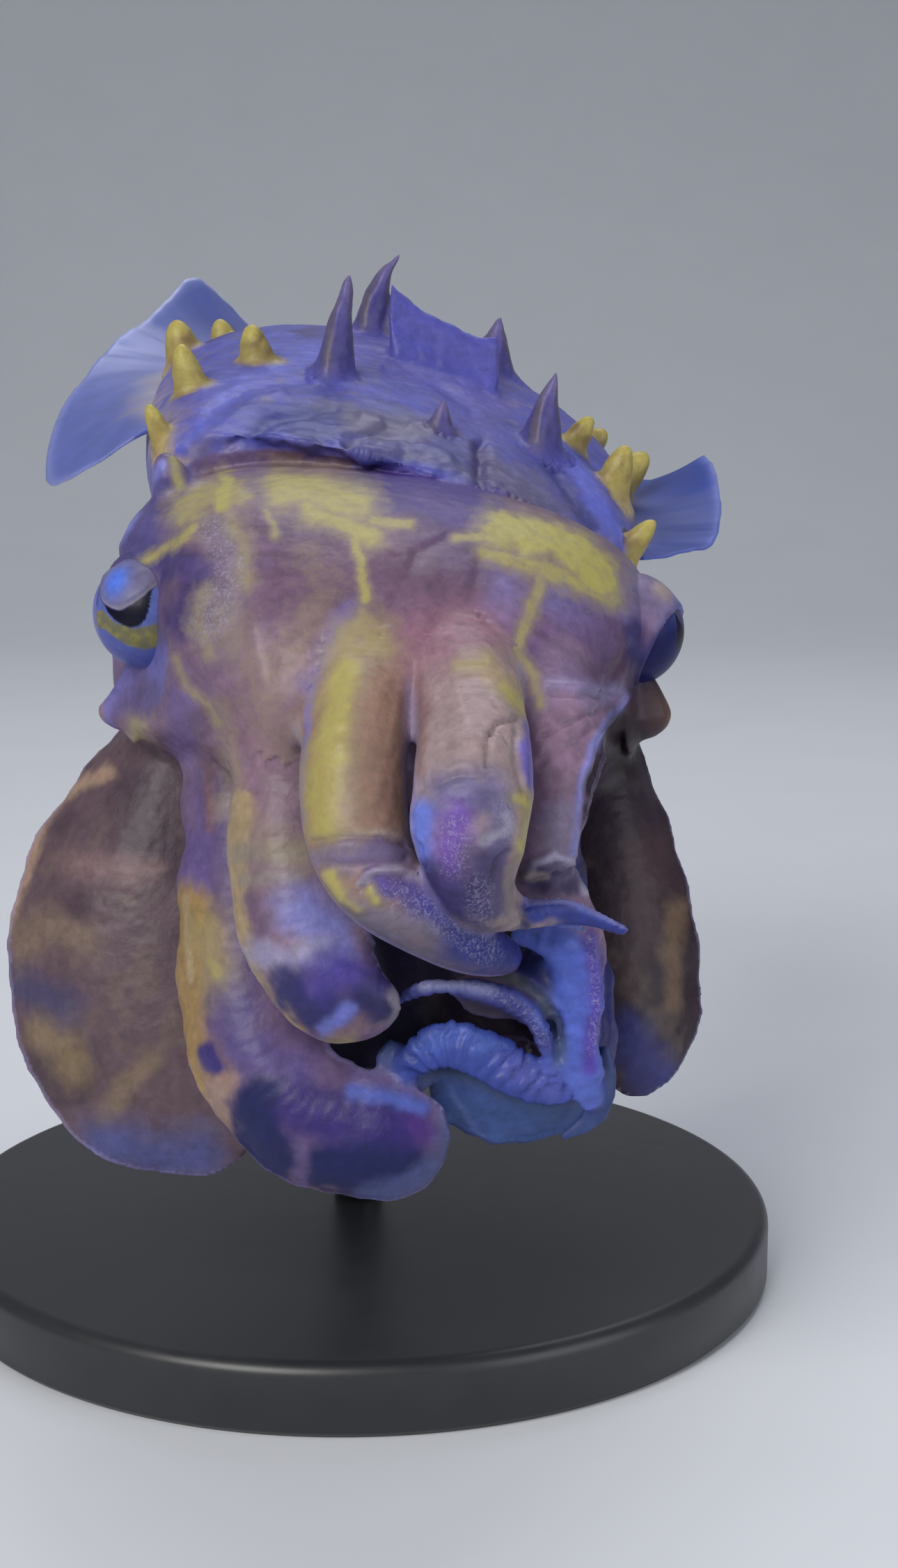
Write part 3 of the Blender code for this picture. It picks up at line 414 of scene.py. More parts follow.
GROUNDS = {
    "head": MAUVE,
    "mantle": VIOLET,
    "back_papilla": seen(78, 72, 134),
    "side_papilla": OCHRE,
    "head_papilla": seen(110, 88, 116),
    "funnel": seen(110, 104, 150),
    "arm_1_right": TAN,
    "arm_1_left": SHELL,
    "arm_2_right": seen(122, 100, 112),
    "arm_2_left": seen(126, 102, 128),
    "arm_3_right": seen(94, 76, 110),
    "arm_3_left": seen(42, 44, 104),
    "arm_4_right": LEAF,
    # Partly the left leaf's own dark reddish brown, partly painted shade.
    "arm_4_left": seen(46, 32, 42),
    # Painted shade: the web is kept dark as the shaded hollow within the arms.
    "arm_web": seen(36, 32, 60),
    "lip_band": seen(80, 96, 176),
    "lip_inner": seen(66, 70, 136),
    "lip_lower": seen(52, 68, 144),
    "lip_frill": seen(110, 120, 176),
    "lip_corner": seen(50, 64, 112),
    "lip_bridge": seen(66, 78, 128),
}
ORAL = seen(128, 122, 164)
PIECES = list(GROUNDS)


def unit(vector):
    return vector / np.linalg.norm(vector)


def smooth(value):
    value = np.clip(value, 0.0, 1.0)
    return value * value * (3 - 2 * value)


def to_world(points):
    """Millimetres in the viewer's frame to metres on the stand."""
    x, y, z = np.asarray(points, float).T
    c, s = math.cos(VIEW_TILT), math.sin(VIEW_TILT)
    return np.column_stack([x - BASE_CENTRE[0], y * c + z * s - BASE_CENTRE[1], z * c - y * s + LIFT]) * MM


def photo_pixels(points):
    """Where points of the viewer's frame lie in the photograph."""
    scale = MM_PER_PIXEL * (1 + points[:, 1] / -EYE_POINT[1])
    return np.column_stack([PHOTO_CENTRE[0] + (points[:, 0] - EYE_POINT[0]) / scale,
                            PHOTO_CENTRE[1] - (points[:, 2] - EYE_POINT[2]) / scale])


def at_pixel(across, down, y):
    """The place at depth y that shows at a pixel of the photograph."""
    scale = MM_PER_PIXEL * (1 + y / -EYE_POINT[1])
    x = EYE_POINT[0] + (across - PHOTO_CENTRE[0]) * scale
    return x, y, EYE_POINT[2] - (down - PHOTO_CENTRE[1]) * scale


def lattice(cells, seed):
    """A number from -1 to 1 for each whole-numbered cell, the same each time."""
    n = cells[..., 0] * 73856093 ^ cells[..., 1] * 19349663 ^ cells[..., 2] * 83492791 ^ seed * 2654435761
    n = (n ^ (n >> 13)) * 1274126177 & 0xFFFFFFFF
    n = (n ^ (n >> 16)) & 0xFFFFFF
    return n / 0x7FFFFF - 1.0


def noise(points, size, seed, octaves=1):
    """Smooth noise from about -1 to 1 whose lumps are the given size in millimetres."""
    total, share, gain = 0.0, 0.0, 1.0
    for octave in range(octaves):
        q = np.asarray(points, float) / size * 2**octave + 17.3 * octave
        cell = np.floor(q).astype(np.int64)
        f = smooth(q - cell)
        value = 0.0
        for corner in range(8):
            step = np.array((corner & 1, corner >> 1 & 1, corner >> 2 & 1))
            weight = np.prod(np.where(step, f, 1 - f), axis=-1)
            value = value + weight * lattice(cell + step, seed + octave)
        total = total + gain * value
        share += gain
        gain *= 0.5
    return total / share


def curve_through(rows, step):
    """Rows read along a smooth curve through them, about one step apart by length."""
    rows = np.array(rows, float)
    padded = np.vstack([2 * rows[0] - rows[1], rows, 2 * rows[-1] - rows[-2]])
    fine = []
    for a, b, c, d in zip(padded, padded[1:], padded[2:], padded[3:]):
        for s in np.arange(0, 1, 0.05):
            fine.append(0.5 * (2 * b + (c - a) * s + (2 * a - 5 * b + 4 * c - d) * s**2
                               + (3 * b - a - 3 * c + d) * s**3))
    fine = np.array(fine + [rows[-1]])
    travelled = np.concatenate([[0], np.cumsum(np.linalg.norm(np.diff(fine[:, :3], axis=0), axis=1))])
    count = max(4, round(travelled[-1] / step))
    even = np.linspace(0, travelled[-1], count + 1)
    return np.column_stack([np.interp(even, travelled, column) for column in fine.T]), travelled[-1]


def frames_along(points, faces):
    """For each point, the way across the form and the way its outer face looks."""
    faces = np.array(faces, float)
    share = np.linspace(0, len(faces) - 1, len(points))
    looks = np.column_stack([np.interp(share, range(len(faces)), column) for column in faces.T])
    tangents = np.gradient(points, axis=0)
    tangents /= np.linalg.norm(tangents, axis=1)[:, None]
    outward = looks - (looks * tangents).sum(1)[:, None] * tangents
    outward /= np.linalg.norm(outward, axis=1)[:, None]
    return np.cross(tangents, outward), outward


def circle(sides):
    """Angles once round, evenly spaced."""
    return 2 * np.pi * np.arange(sides) / sides


def ring_notes(share, turns):
    """Place along, across and side of each point of rings that share the same turns."""
    count = len(share)
    return np.repeat(share, len(turns)), np.tile(np.cos(turns), count), np.tile(np.sin(turns), count)


class Form:
    """A closed surface of rings, with each point's share of the length, place across and side."""

    def __init__(self, piece, rings, along, across, side):
        self.piece = piece
        self.rings = np.asarray(rings)
        self.along, self.across, self.side = along, across, side

    def mesh_data(self):
        rows, count = self.rings.shape[:2]
        j = np.arange(count)
        k = (j + 1) % count
        faces = []
        for i in range(rows - 1):
            a = i * count
            faces += np.column_stack([a + j, a + k, a + count + k, a + count + j]).tolist()
        faces.append(j[::-1].tolist())
        faces.append(((rows - 1) * count + j).tolist())
        return self.rings.reshape(-1, 3), faces


def arm_line(arm, step):
    """Points, frames, half widths and half depths along an arm, with its tip rounded off."""
    rows, length = curve_through(arm["rows"], step)
    points, width, depth = rows[:, :3], rows[:, 3], rows[:, 4]
    across, outward = frames_along(points, arm["faces"])
    left = length - np.linspace(0, length, len(points))
    rounding = np.sqrt(1 - (1 - np.clip(left / width, 0, 1)) ** 2)
    width = np.maximum(width * np.maximum(rounding, TIP_WIDTH), ARM_LEAST)
    depth = np.maximum(depth * np.maximum(rounding, TIP_DEPTH), ARM_MARGIN)
    return points, across, outward, width, depth, length


# How the margins of each arm wave: height in millimetres, length of a wave, and the share of its edge that is
# scalloped.
FRILLS = {
    "arm_1_right": (0.0, 5.0, 0.0),
    "arm_1_left": (0.0, 5.0, 0.0),
    "arm_2_right": (0.25, 5.5, 0.01),
    "arm_2_left": (0.25, 4.5, 0.02),
    "arm_3_right": (0.45, 6.5, 0.015),
    "arm_3_left": (0.4, 4.0, 0.03),
    "arm_4_right": (0.32, 6.0, 0.006),
    "arm_4_left": (0.28, 5.0, 0.006),
}
SCALLOP_PITCH = 1.7


def side_shares():
    """Places across a flat form, from -1 at one margin to 1 at the other, closer together at both."""
    return -np.cos(np.pi * np.arange(SIDE_POINTS) / (SIDE_POINTS - 1))


def flat_form(name, points, across, outward, width, depth, margin, keel, cup, ripple=0.0, edge=1.0):
    """A long form of lens-shaped rings, fuller outside than inside, whose margins may curl in and wave."""
    u = side_shares()
    fall_off = (1 - u**2)[None, :] ** keel
    rise = margin + (depth[:, None] - margin) * fall_off
    fall = margin + (ORAL_DEPTH * depth[:, None] - margin) * fall_off
    curl = -cup * width[:, None] * u**2 + ripple
    side = u * width[:, None] * edge
    outer = points[:, None] + across[:, None] * side[..., None] + outward[:, None] * (curl + rise)[..., None]
    inner = points[:, None] + across[:, None] * side[..., None] + outward[:, None] * (curl - fall)[..., None]
    rings = np.concatenate([outer, inner[:, ::-1]], axis=1)
    count = len(points)
    along = np.repeat(np.linspace(0, 1, count), 2 * SIDE_POINTS)
    across_value = np.tile(np.concatenate([u, u[::-1]]), count)
    which = np.tile(np.concatenate([np.ones(SIDE_POINTS), -np.ones(SIDE_POINTS)]), count)
    return Form(name, rings, along, across_value, which)


def arm_form(name):
    """An arm with its own waves and scallops along both margins."""
    arm = ARMS[name]
    points, across, outward, width, depth, length = arm_line(arm, FINE_STEP)
    wave, pitch, scallop = FRILLS[name]
    u = side_shares()
    share = np.linspace(0, 1, len(points))
    run = (share * length)[:, None]
    ripple = wave * np.abs(u) ** 4 * np.sin(2 * np.pi * run / pitch + 2.1 * np.sign(u))
    ripple = ripple * smooth(share[:, None] * 3)
    edge = 1 + scallop * np.abs(u) ** 6 * np.sin(2 * np.pi * run / SCALLOP_PITCH + 1.3 * np.sign(u))
    margin = np.minimum(ARM_MARGIN, 0.8 * depth)[:, None]
    return flat_form(name, points, across, outward, width, depth, margin, arm["keel"], arm["cup"], ripple,
                     edge)


def lip_line(name):
    placed = [(*at_pixel(across, down, y), width, depth) for across, down, y, width, depth in LIPS[name]]
    return curve_through(placed, LIP_STEP)


def lip_form(name):
    rows, _ = lip_line(name)
    points, width, depth = rows[:, :3], rows[:, 3], rows[:, 4]
    across, outward = frames_along(points, ((0.0, -1.0, 0.1), (0.0, -1.0, 0.1)))
    return flat_form(name, points, across, outward, width, depth, 0.5 * depth[:, None], 0.5, 0.1)


def oval_rings(points, across, outward, widths, heights, depths, square):
    """Rings of a body whose upper and lower halves have their own heights and their own squareness."""
    turns = circle(BODY_SIDES)
    power = np.where(np.sin(turns) > 0, *square)
    c = np.sign(np.cos(turns)) * np.abs(np.cos(turns)) ** power
    s = np.sign(np.sin(turns)) * np.abs(np.sin(turns)) ** power
    tall = np.where(s > 0, heights[:, None], depths[:, None])
    return (points[:, None] + across[:, None] * (widths[:, None] * c)[..., None]
            + outward[:, None] * (tall * s)[..., None])


def mantle_axes():
    back = np.array((0.0, math.cos(MANTLE_PITCH), math.sin(MANTLE_PITCH)))
    level = np.array((1.0, 0.0, 0.0))
    rise = np.array((0.0, -math.sin(MANTLE_PITCH), math.cos(MANTLE_PITCH)))
    across = level * math.cos(MANTLE_ROLL) - rise * math.sin(MANTLE_ROLL)
    return across, back, level * math.sin(MANTLE_ROLL) + rise * math.cos(MANTLE_ROLL)


MANTLE_AXES = mantle_axes()


def on_mantle(u, v, w):
    across, back, up = MANTLE_AXES
    return np.array(MANTLE_ORIGIN) + across * u + back * v + up * w


def mantle_frame(points):
    """u, v and w of points in the mantle's own frame."""
    return (points - np.array(MANTLE_ORIGIN)) @ np.array(MANTLE_AXES).T


def mantle_sizes(v):
    rows = np.array(MANTLE_ROWS)
    return [np.interp(v, rows[:, 0], rows[:, k]) for k in (1, 2, 3)]


def mantle_back(u, v):
    width, height, _ = mantle_sizes(v)
    return height * math.sqrt(max(0.0, 1 - (u / width) ** 2))


def mantle_form():
    rows, _ = curve_through([(v, 0, 0, width, up, down) for v, width, up, down in MANTLE_ROWS], BODY_STEP)
    across, back, up = MANTLE_AXES
    v_line = rows[:, 0]
    points = np.array([on_mantle(0, v, 0) for v in v_line])
    count = len(points)
    rings = oval_rings(points, np.tile(across, (count, 1)), np.tile(up, (count, 1)), rows[:, 3], rows[:, 4],
                       rows[:, 5], (1.0, 0.9))
    turns = circle(BODY_SIDES)
    reach = MANTLE_LOBE * np.maximum(0.0, 1 - (v_line - v_line[0]) / LOBE_LENGTH)
    lobe = np.where(np.sin(turns) > 0, np.sin(turns) ** 2, 0.0)
    rings = rings - (reach[:, None] * lobe)[..., None] * back
    share = np.linspace(0, 1, count)
    return Form("mantle", rings, *ring_notes(share, turns))


def head_form():
    rows, _ = curve_through(HEAD_ROWS, BODY_STEP)
    tops = [(math.sin(roll), 0.0, math.cos(roll)) for roll in (NECK_ROLL, HEAD_ROLL, HEAD_ROLL)]
    across, outward = frames_along(rows[:, :3], tops)
    square = (HEAD_SQUARE_ABOVE, HEAD_SQUARE_BELOW)
    rings = oval_rings(rows[:, :3], across, outward, rows[:, 3], rows[:, 4], rows[:, 5], square)
    return Form("head", rings, *ring_notes(np.linspace(0, 1, len(rows)), circle(BODY_SIDES)))


def round_form(piece, points, radii, sides):
    across, outward = frames_along(points, ((0.0, 0.0, 1.0), (0.0, 0.0, 1.0)))
    turns = circle(sides)
    ring = across[:, None] * np.cos(turns)[None, :, None] + outward[:, None] * np.sin(turns)[None, :, None]
    rings = points[:, None] + ring * radii[:, None, None]
    return Form(piece, rings, *ring_notes(np.linspace(0, 1, len(points)), turns))


def papilla_form(piece, foot, tip, side, radii, taper, bend=0.0, flutes=0.0):
    """A lobe from its foot to its tip, wide at the root, with soft ridges along it."""
    axis = tip - foot
    along = unit(axis)
    side = unit(side - side.dot(along) * along)
    other = np.cross(along, side)
    turns = circle(PAPILLA_SIDES)
    shares = np.linspace(-0.1, 1, PAPILLA_RINGS)
    made = []
    for t in shares:
        climb = max(t, 0.0)
        centre = foot + axis * t + side * bend * climb**3
        girth = (1 - PAPILLA_TIP) * (1 - climb) ** taper + PAPILLA_TIP * math.sqrt(max(0.0, 1 - climb**6))
        flare = 1 + PAPILLA_FLARE * max(0.0, 1 - PAPILLA_FLARE_FADE * climb) ** 2
        ridge = 1 + flutes * np.sin(3 * turns + 4 * climb) * (1 - climb)
        radius = np.maximum(girth * flare * ridge, 0.02)[:, None]
        made.append(centre + radius * (side * radii[0] * np.cos(turns)[:, None]
                                       + other * radii[1] * np.sin(turns)[:, None]))
    return Form(piece, made, *ring_notes(np.clip(shares, 0, 1), turns))


def papilla_forms():
    made = []
    across, back, up = MANTLE_AXES
    for offset, v, height, wide, long, lean, push, bend, taper in BACK_PAPILLAE:
        u = BACK_MIDLINE + offset
        foot = on_mantle(u, v, mantle_back(u, v) - PAPILLA_SUNK)
        tip = foot + up * (height + PAPILLA_SUNK) + across * (lean - bend) + back * push
        made.append(papilla_form("back_papilla", foot, tip, across, (wide, long), taper + BACK_TAPER_MORE,
                                 bend, BACK_FLUTES))
    made.append(sail_form())
    for side, rows in SIDE_PAPILLAE.items():
        for v, turn, height, radius, out in rows:
            width, tall, _ = mantle_sizes(v)
            stand = unit(across * side * out + up)
            turn = math.radians(turn)
            foot = on_mantle(side * width * math.cos(turn), v, tall * math.sin(turn)) - stand * PAPILLA_SUNK
            tip = foot + stand * (height + PAPILLA_SUNK)
            made.append(papilla_form("side_papilla", foot, tip, back, (radius, radius), SIDE_PAPILLA_TAPER,
                                     0.0, SIDE_FLUTES))
    for foot, stand, height, radius in HEAD_PAPILLAE:
        foot, stand = np.array(foot), unit(np.array(stand))
        made.append(papilla_form("head_papilla", foot - stand * PAPILLA_SUNK, foot + stand * height, back,
                                 (radius, radius), HEAD_PAPILLA_TAPER))
    return made


def sail_form():
    """The thin sail of skin that runs over the back from one papilla to the next, as rings round a sheet."""
    turns = circle(SAIL_SIDES)
    share = np.linspace(0, 1, SAIL_RINGS)
    across, down = [np.interp(share, np.linspace(0, 1, len(SAIL_TOP)), column) for column in zip(*SAIL_TOP)]
    half = SAIL_HEIGHT / 2
    thick = SAIL_THICK * (1 + SAIL_SPREAD * (1 - np.sin(turns)) / 2)
    section = np.column_stack([np.zeros(SAIL_SIDES), thick * np.cos(turns), half * np.sin(turns)])
    tops = [np.array(at_pixel(*pixel, SAIL_DEPTH)) for pixel in zip(across, down)]
    rings = [top - (0, 0, half) + section for top in tops]
    return Form("back_papilla", rings, *ring_notes(np.zeros(SAIL_RINGS), turns))


def web_form():
    """The thin curtain within the arms, as rings that run along its front face and back along its rear."""
    rows, _ = curve_through(WEB_ROWS, WEB_STEP)
    u = np.linspace(-1, 1, 49)
    u = np.sign(u) * np.abs(u) ** 0.8
    rings = []
    for x, y, z, width, bow in rows:
        slack = 0.25 * np.sin(2 * np.pi * u * 2.2 + z * 0.3)
        line = np.column_stack([x + u * width, y + bow * (1 - u * u) + slack, np.full(len(u), z)])
        half = np.array((0.0, WEB_THICK / 2, 0.0))
        rings.append(np.vstack([line - half, (line + half)[::-1]]))
    count = len(rows)
    across = np.tile(np.concatenate([u, u[::-1]]), count)
    side = np.tile(np.concatenate([np.ones(len(u)), -np.ones(len(u))]), count)
    return Form("arm_web", rings, np.repeat(np.linspace(0, 1, count), 2 * len(u)), across, side)


def funnel_form():
    """A tube whose rings run on past its rim and back into the bore."""
    rows, _ = curve_through(FUNNEL_ROWS, WEB_STEP)
    points, radii = rows[:, :3], rows[:, 3]
    inward = unit(points[-2] - points[-1])
    mouth = radii[-1]
    bore = [(0.0, mouth - FUNNEL_WALL), (1.2, 0.9 * mouth - 0.6), (2.8, 0.8 * mouth - FUNNEL_WALL)]
    form = round_form("funnel", points, radii, FUNNEL_SIDES)
    rim = form.rings[-1]
    inner = [points[-1] + inward * depth + (rim - points[-1]) * (radius / mouth) for depth, radius in bore]
    rings = np.concatenate([form.rings, np.array(inner)])
    return Form("funnel", rings, *ring_notes(np.linspace(0, 1, len(rings)), circle(FUNNEL_SIDES)))


def new_object(name, points, faces):
    mesh = bpy.data.meshes.new(name)
    mesh.from_pydata(points, [], faces)
    mesh.update()
    made = bpy.data.objects.new(name, mesh)
    bpy.context.scene.collection.objects.link(made)
    return made


def face_outward(mesh, merge=0.0):
    """Turns all faces of a mesh outward, after joining points that are nearer than the merge distance."""
    solid = bmesh.new()
    solid.from_mesh(mesh)
    if merge:
        bmesh.ops.remove_doubles(solid, verts=solid.verts, dist=merge)
        bmesh.ops.dissolve_degenerate(solid, edges=solid.edges, dist=merge)
    bmesh.ops.recalc_face_normals(solid, faces=solid.faces)
    solid.to_mesh(mesh)
    solid.free()


def fused(forms):
    """One closed skin over all forms, as arrays of points and faces."""
    points, faces = [], []
    start = 0
    for form in forms:
        own, cells = form.mesh_data()
        points.append(own)
        faces += [[start + k for k in cell] for cell in cells]
        start += len(own)
    rough = new_object("rough_skin", np.vstack(points), faces)
    face_outward(rough.data)
    remesh = rough.modifiers.new("fuse", "REMESH")
    remesh.mode = "VOXEL"
    remesh.voxel_size = VOXEL
    remesh.adaptivity = 0.0
    mesh = bpy.data.meshes.new_from_object(rough.evaluated_get(bpy.context.evaluated_depsgraph_get()))
    bpy.data.objects.remove(rough)
    coords = np.empty(len(mesh.vertices) * 3)
    mesh.vertices.foreach_get("co", coords)
    cells = np.empty(len(mesh.polygons) * 4, np.int64)
    mesh.polygons.foreach_get("vertices", cells)
    edges = np.empty(len(mesh.edges) * 2, np.int64)
    mesh.edges.foreach_get("vertices", edges)
    bpy.data.meshes.remove(mesh)
    return coords.reshape(-1, 3), cells.reshape(-1, 4), edges.reshape(-1, 2)


def averaged(values, edges, rounds=1, amount=0.5):
    """Values moved towards the mean of their neighbours, by an amount for each point."""
    count = len(values)
    values = values.copy()
    columns = values.reshape(count, -1)
    amount = np.broadcast_to(np.asarray(amount, float), (count,))
    live = np.flatnonzero(amount > 0.001)
    place = np.full(count, -1)
    place[live] = np.arange(len(live))
    ends = np.vstack([edges, edges[:, ::-1]])
    ends = ends[place[ends[:, 0]] >= 0]
    target, source = place[ends[:, 0]], ends[:, 1]
    degree = np.maximum(np.bincount(target, minlength=len(live)), 1)
    share = amount[live]
    for _ in range(rounds):
        for column in columns.T:
            mean = np.bincount(target, column[source], len(live)) / degree
            column[live] += share * (mean - column[live])
    return columns.reshape(values.shape)


def rounds_for(spread):
    """How many rounds of averaging spread a form's detail by so many millimetres."""
    return max(1, round(2.2 * (spread / VOXEL) ** 2))


def normals_of(points, cells):
    diagonal = np.cross(points[cells[:, 2]] - points[cells[:, 0]], points[cells[:, 3]] - points[cells[:, 1]])
    total = np.zeros_like(points)
    for k in range(4):
        for axis in range(3):
            total[:, axis] += np.bincount(cells[:, k], diagonal[:, axis], len(points))
    return total / np.maximum(np.linalg.norm(total, axis=1), 1e-12)[:, None]


def nearest_form(points, forms):
    """For each point: its piece, place along, across and side there, the next piece and how near that is."""
    count = len(points)
    best = np.full(count, 1e9)
    second = np.full(count, 1e9)
    piece = np.zeros(count, np.int64)
    other = np.zeros(count, np.int64)
    values = np.zeros((count, 3))
    groups = {}
    for form in forms:
        groups.setdefault(form.piece, []).append(form)
    for name, members in groups.items():
        samples = np.vstack([form.rings.reshape(-1, 3) for form in members])
        notes = np.vstack([np.column_stack([form.along, form.across, form.side]) for form in members])
        tree = KDTree(len(samples))
        for k, sample in enumerate(samples):
            tree.insert(sample, k)
        tree.balance()
        low, high = samples.min(0) - ROOT_REACH, samples.max(0) + ROOT_REACH
        chosen = np.flatnonzero(np.all((points > low) & (points < high), axis=1))
        mine = PIECES.index(name)
        for k in chosen:
            _, index, distance = tree.find(points[k])
            if distance < best[k]:
                second[k], other[k] = best[k], piece[k]
                best[k], piece[k] = distance, mine
                values[k] = notes[index]
            elif distance < second[k]:
                second[k], other[k] = distance, mine
    return piece, values, other, second


# Eye openings: the way each looks, its half angle in degrees, and how much wider it is above and below.
EYE_OPENINGS = {
    "eye_right": ((-0.75, -0.65, -0.12), 64.0, 2.0, 20.0),
    "eye_left": ((0.86, -0.28, -0.42), 42.0, 0.0, 6.0),
}
LID_SUNK = 0.93
LID_EDGE = {"eye_right": 0.40, "eye_left": 0.26}
LID_FILM = 0.15
LID_RAMP = 6.0
NO_LID = 180.0
LID_REACH = {"eye_right": 4.2, "eye_left": 2.8}


class Skin:
    """The fused skin and all that is known of its points."""

    def __init__(self, forms):
        self.points, self.cells, self.edges = fused(forms)
        self.piece, values, other, self.next_piece = nearest_form(self.points, forms)
        self.along, self.across, self.side = values.T
        bodies = [k for k, name in enumerate(PIECES) if name.startswith(("head", "arm_1", "arm_2", "arm_3"))
                  and name != "head_papilla"]
        head = PIECES.index("head")
        root = np.isin(self.piece, bodies) & np.isin(other, bodies) & ((self.piece == head) | (other == head))
        lips = [k for k, name in enumerate(PIECES) if name.startswith("lip_")]
        fine = np.isin(self.piece, [PIECES.index("side_papilla"), PIECES.index("back_papilla")] + lips)
        near = smooth(1 - self.next_piece / JOIN_REACH) * np.where(fine | np.isin(other, lips), 0.3, 1.0)
        self.points = averaged(self.points, self.edges, rounds_for(JOIN_SPREAD), 0.5 * near)
        near = np.where(root, smooth(1.2 - 1.2 * self.next_piece / ROOT_REACH), 0.0)
        self.points = averaged(self.points, self.edges, rounds_for(ROOT_SPREAD), 0.5 * near)
        self.points = averaged(self.points, self.edges, rounds_for(SKIN_SPREAD), 0.5)
        self.past_lid = np.full(len(self.points), NO_LID)
        self.refresh()

    def refresh(self):
        self.normals = normals_of(self.points, self.cells)
        self.pixels = photo_pixels(self.points)
        self.uvw = mantle_frame(self.points)

    def of(self, *names):
        """Which points belong to pieces whose names start so."""
        chosen = [k for k, piece in enumerate(PIECES) if piece.startswith(names)]
        return np.isin(self.piece, chosen)

    def open_lids(self):
        """Draws the skin round each eyeball into lids, with the ball bare within its opening."""
        for name, (look, half, above, below) in EYE_OPENINGS.items():
            look = unit(np.array(look))
            side = unit(np.cross(look, (0.0, 0.0, 1.0)))
            top = np.cross(side, look)
            offset = self.points - np.array(EYES[name])
            far = np.linalg.norm(offset, axis=1)
            mine = np.flatnonzero((far < EYE_RADIUS + LID_REACH[name]) & self.of("head"))
            far = far[mine]
            ray = offset[mine] / far[:, None]
            turn = np.degrees(np.arccos(np.clip(ray @ look, -1, 1)))
            rise = (ray @ top) / np.maximum(np.sin(np.radians(turn)), 1e-6)
            past = turn - half - above * np.clip(rise, 0, 1) - below * np.clip(-rise, 0, 1) ** 1.5
            edge = EYE_RADIUS + LID_EDGE[name]
            thinning = 1 - smooth((past - LID_RAMP) / 14)
            lid = EYE_RADIUS + LID_FILM + (edge - EYE_RADIUS - LID_FILM) * thinning
            sunk = LID_SUNK * EYE_RADIUS
            opening = sunk + (edge - sunk) * smooth(past / LID_RAMP)
            outer = np.where(far > lid, lid + (far - lid) * smooth((past - LID_RAMP) / 22), lid)
            reach = np.where(past < LID_RAMP, opening, outer)
            keep = smooth((far - EYE_RADIUS - LID_REACH[name] + 1.2) / 1.2)
            reach = reach * (1 - keep) + far * keep
            self.points[mine] = np.array(EYES[name]) + ray * reach[:, None]
            self.past_lid[mine] = np.minimum(self.past_lid[mine], np.where(keep < 0.9, past, NO_LID))
        self.refresh()


ARM_NAMES = tuple(ARMS)
HEAD = ("head", "head_papilla")
FACE = HEAD + ("arm_1", "arm_2", "arm_3")
MANTLE = ("mantle",)
RIGHT_1 = ("arm_1_right",)
LEFT_1 = ("arm_1_left",)
RIGHT_2 = ("arm_2_right",)
LEFT_2 = ("arm_2_left",)
RIGHT_3 = ("arm_3_right",)
LEFT_3 = ("arm_3_left",)
RIGHT_LEAF = ("arm_4_right",)
LEFT_LEAF = ("arm_4_left",)
LIP = ("lip_", "arm_2_left", "arm_3_left")
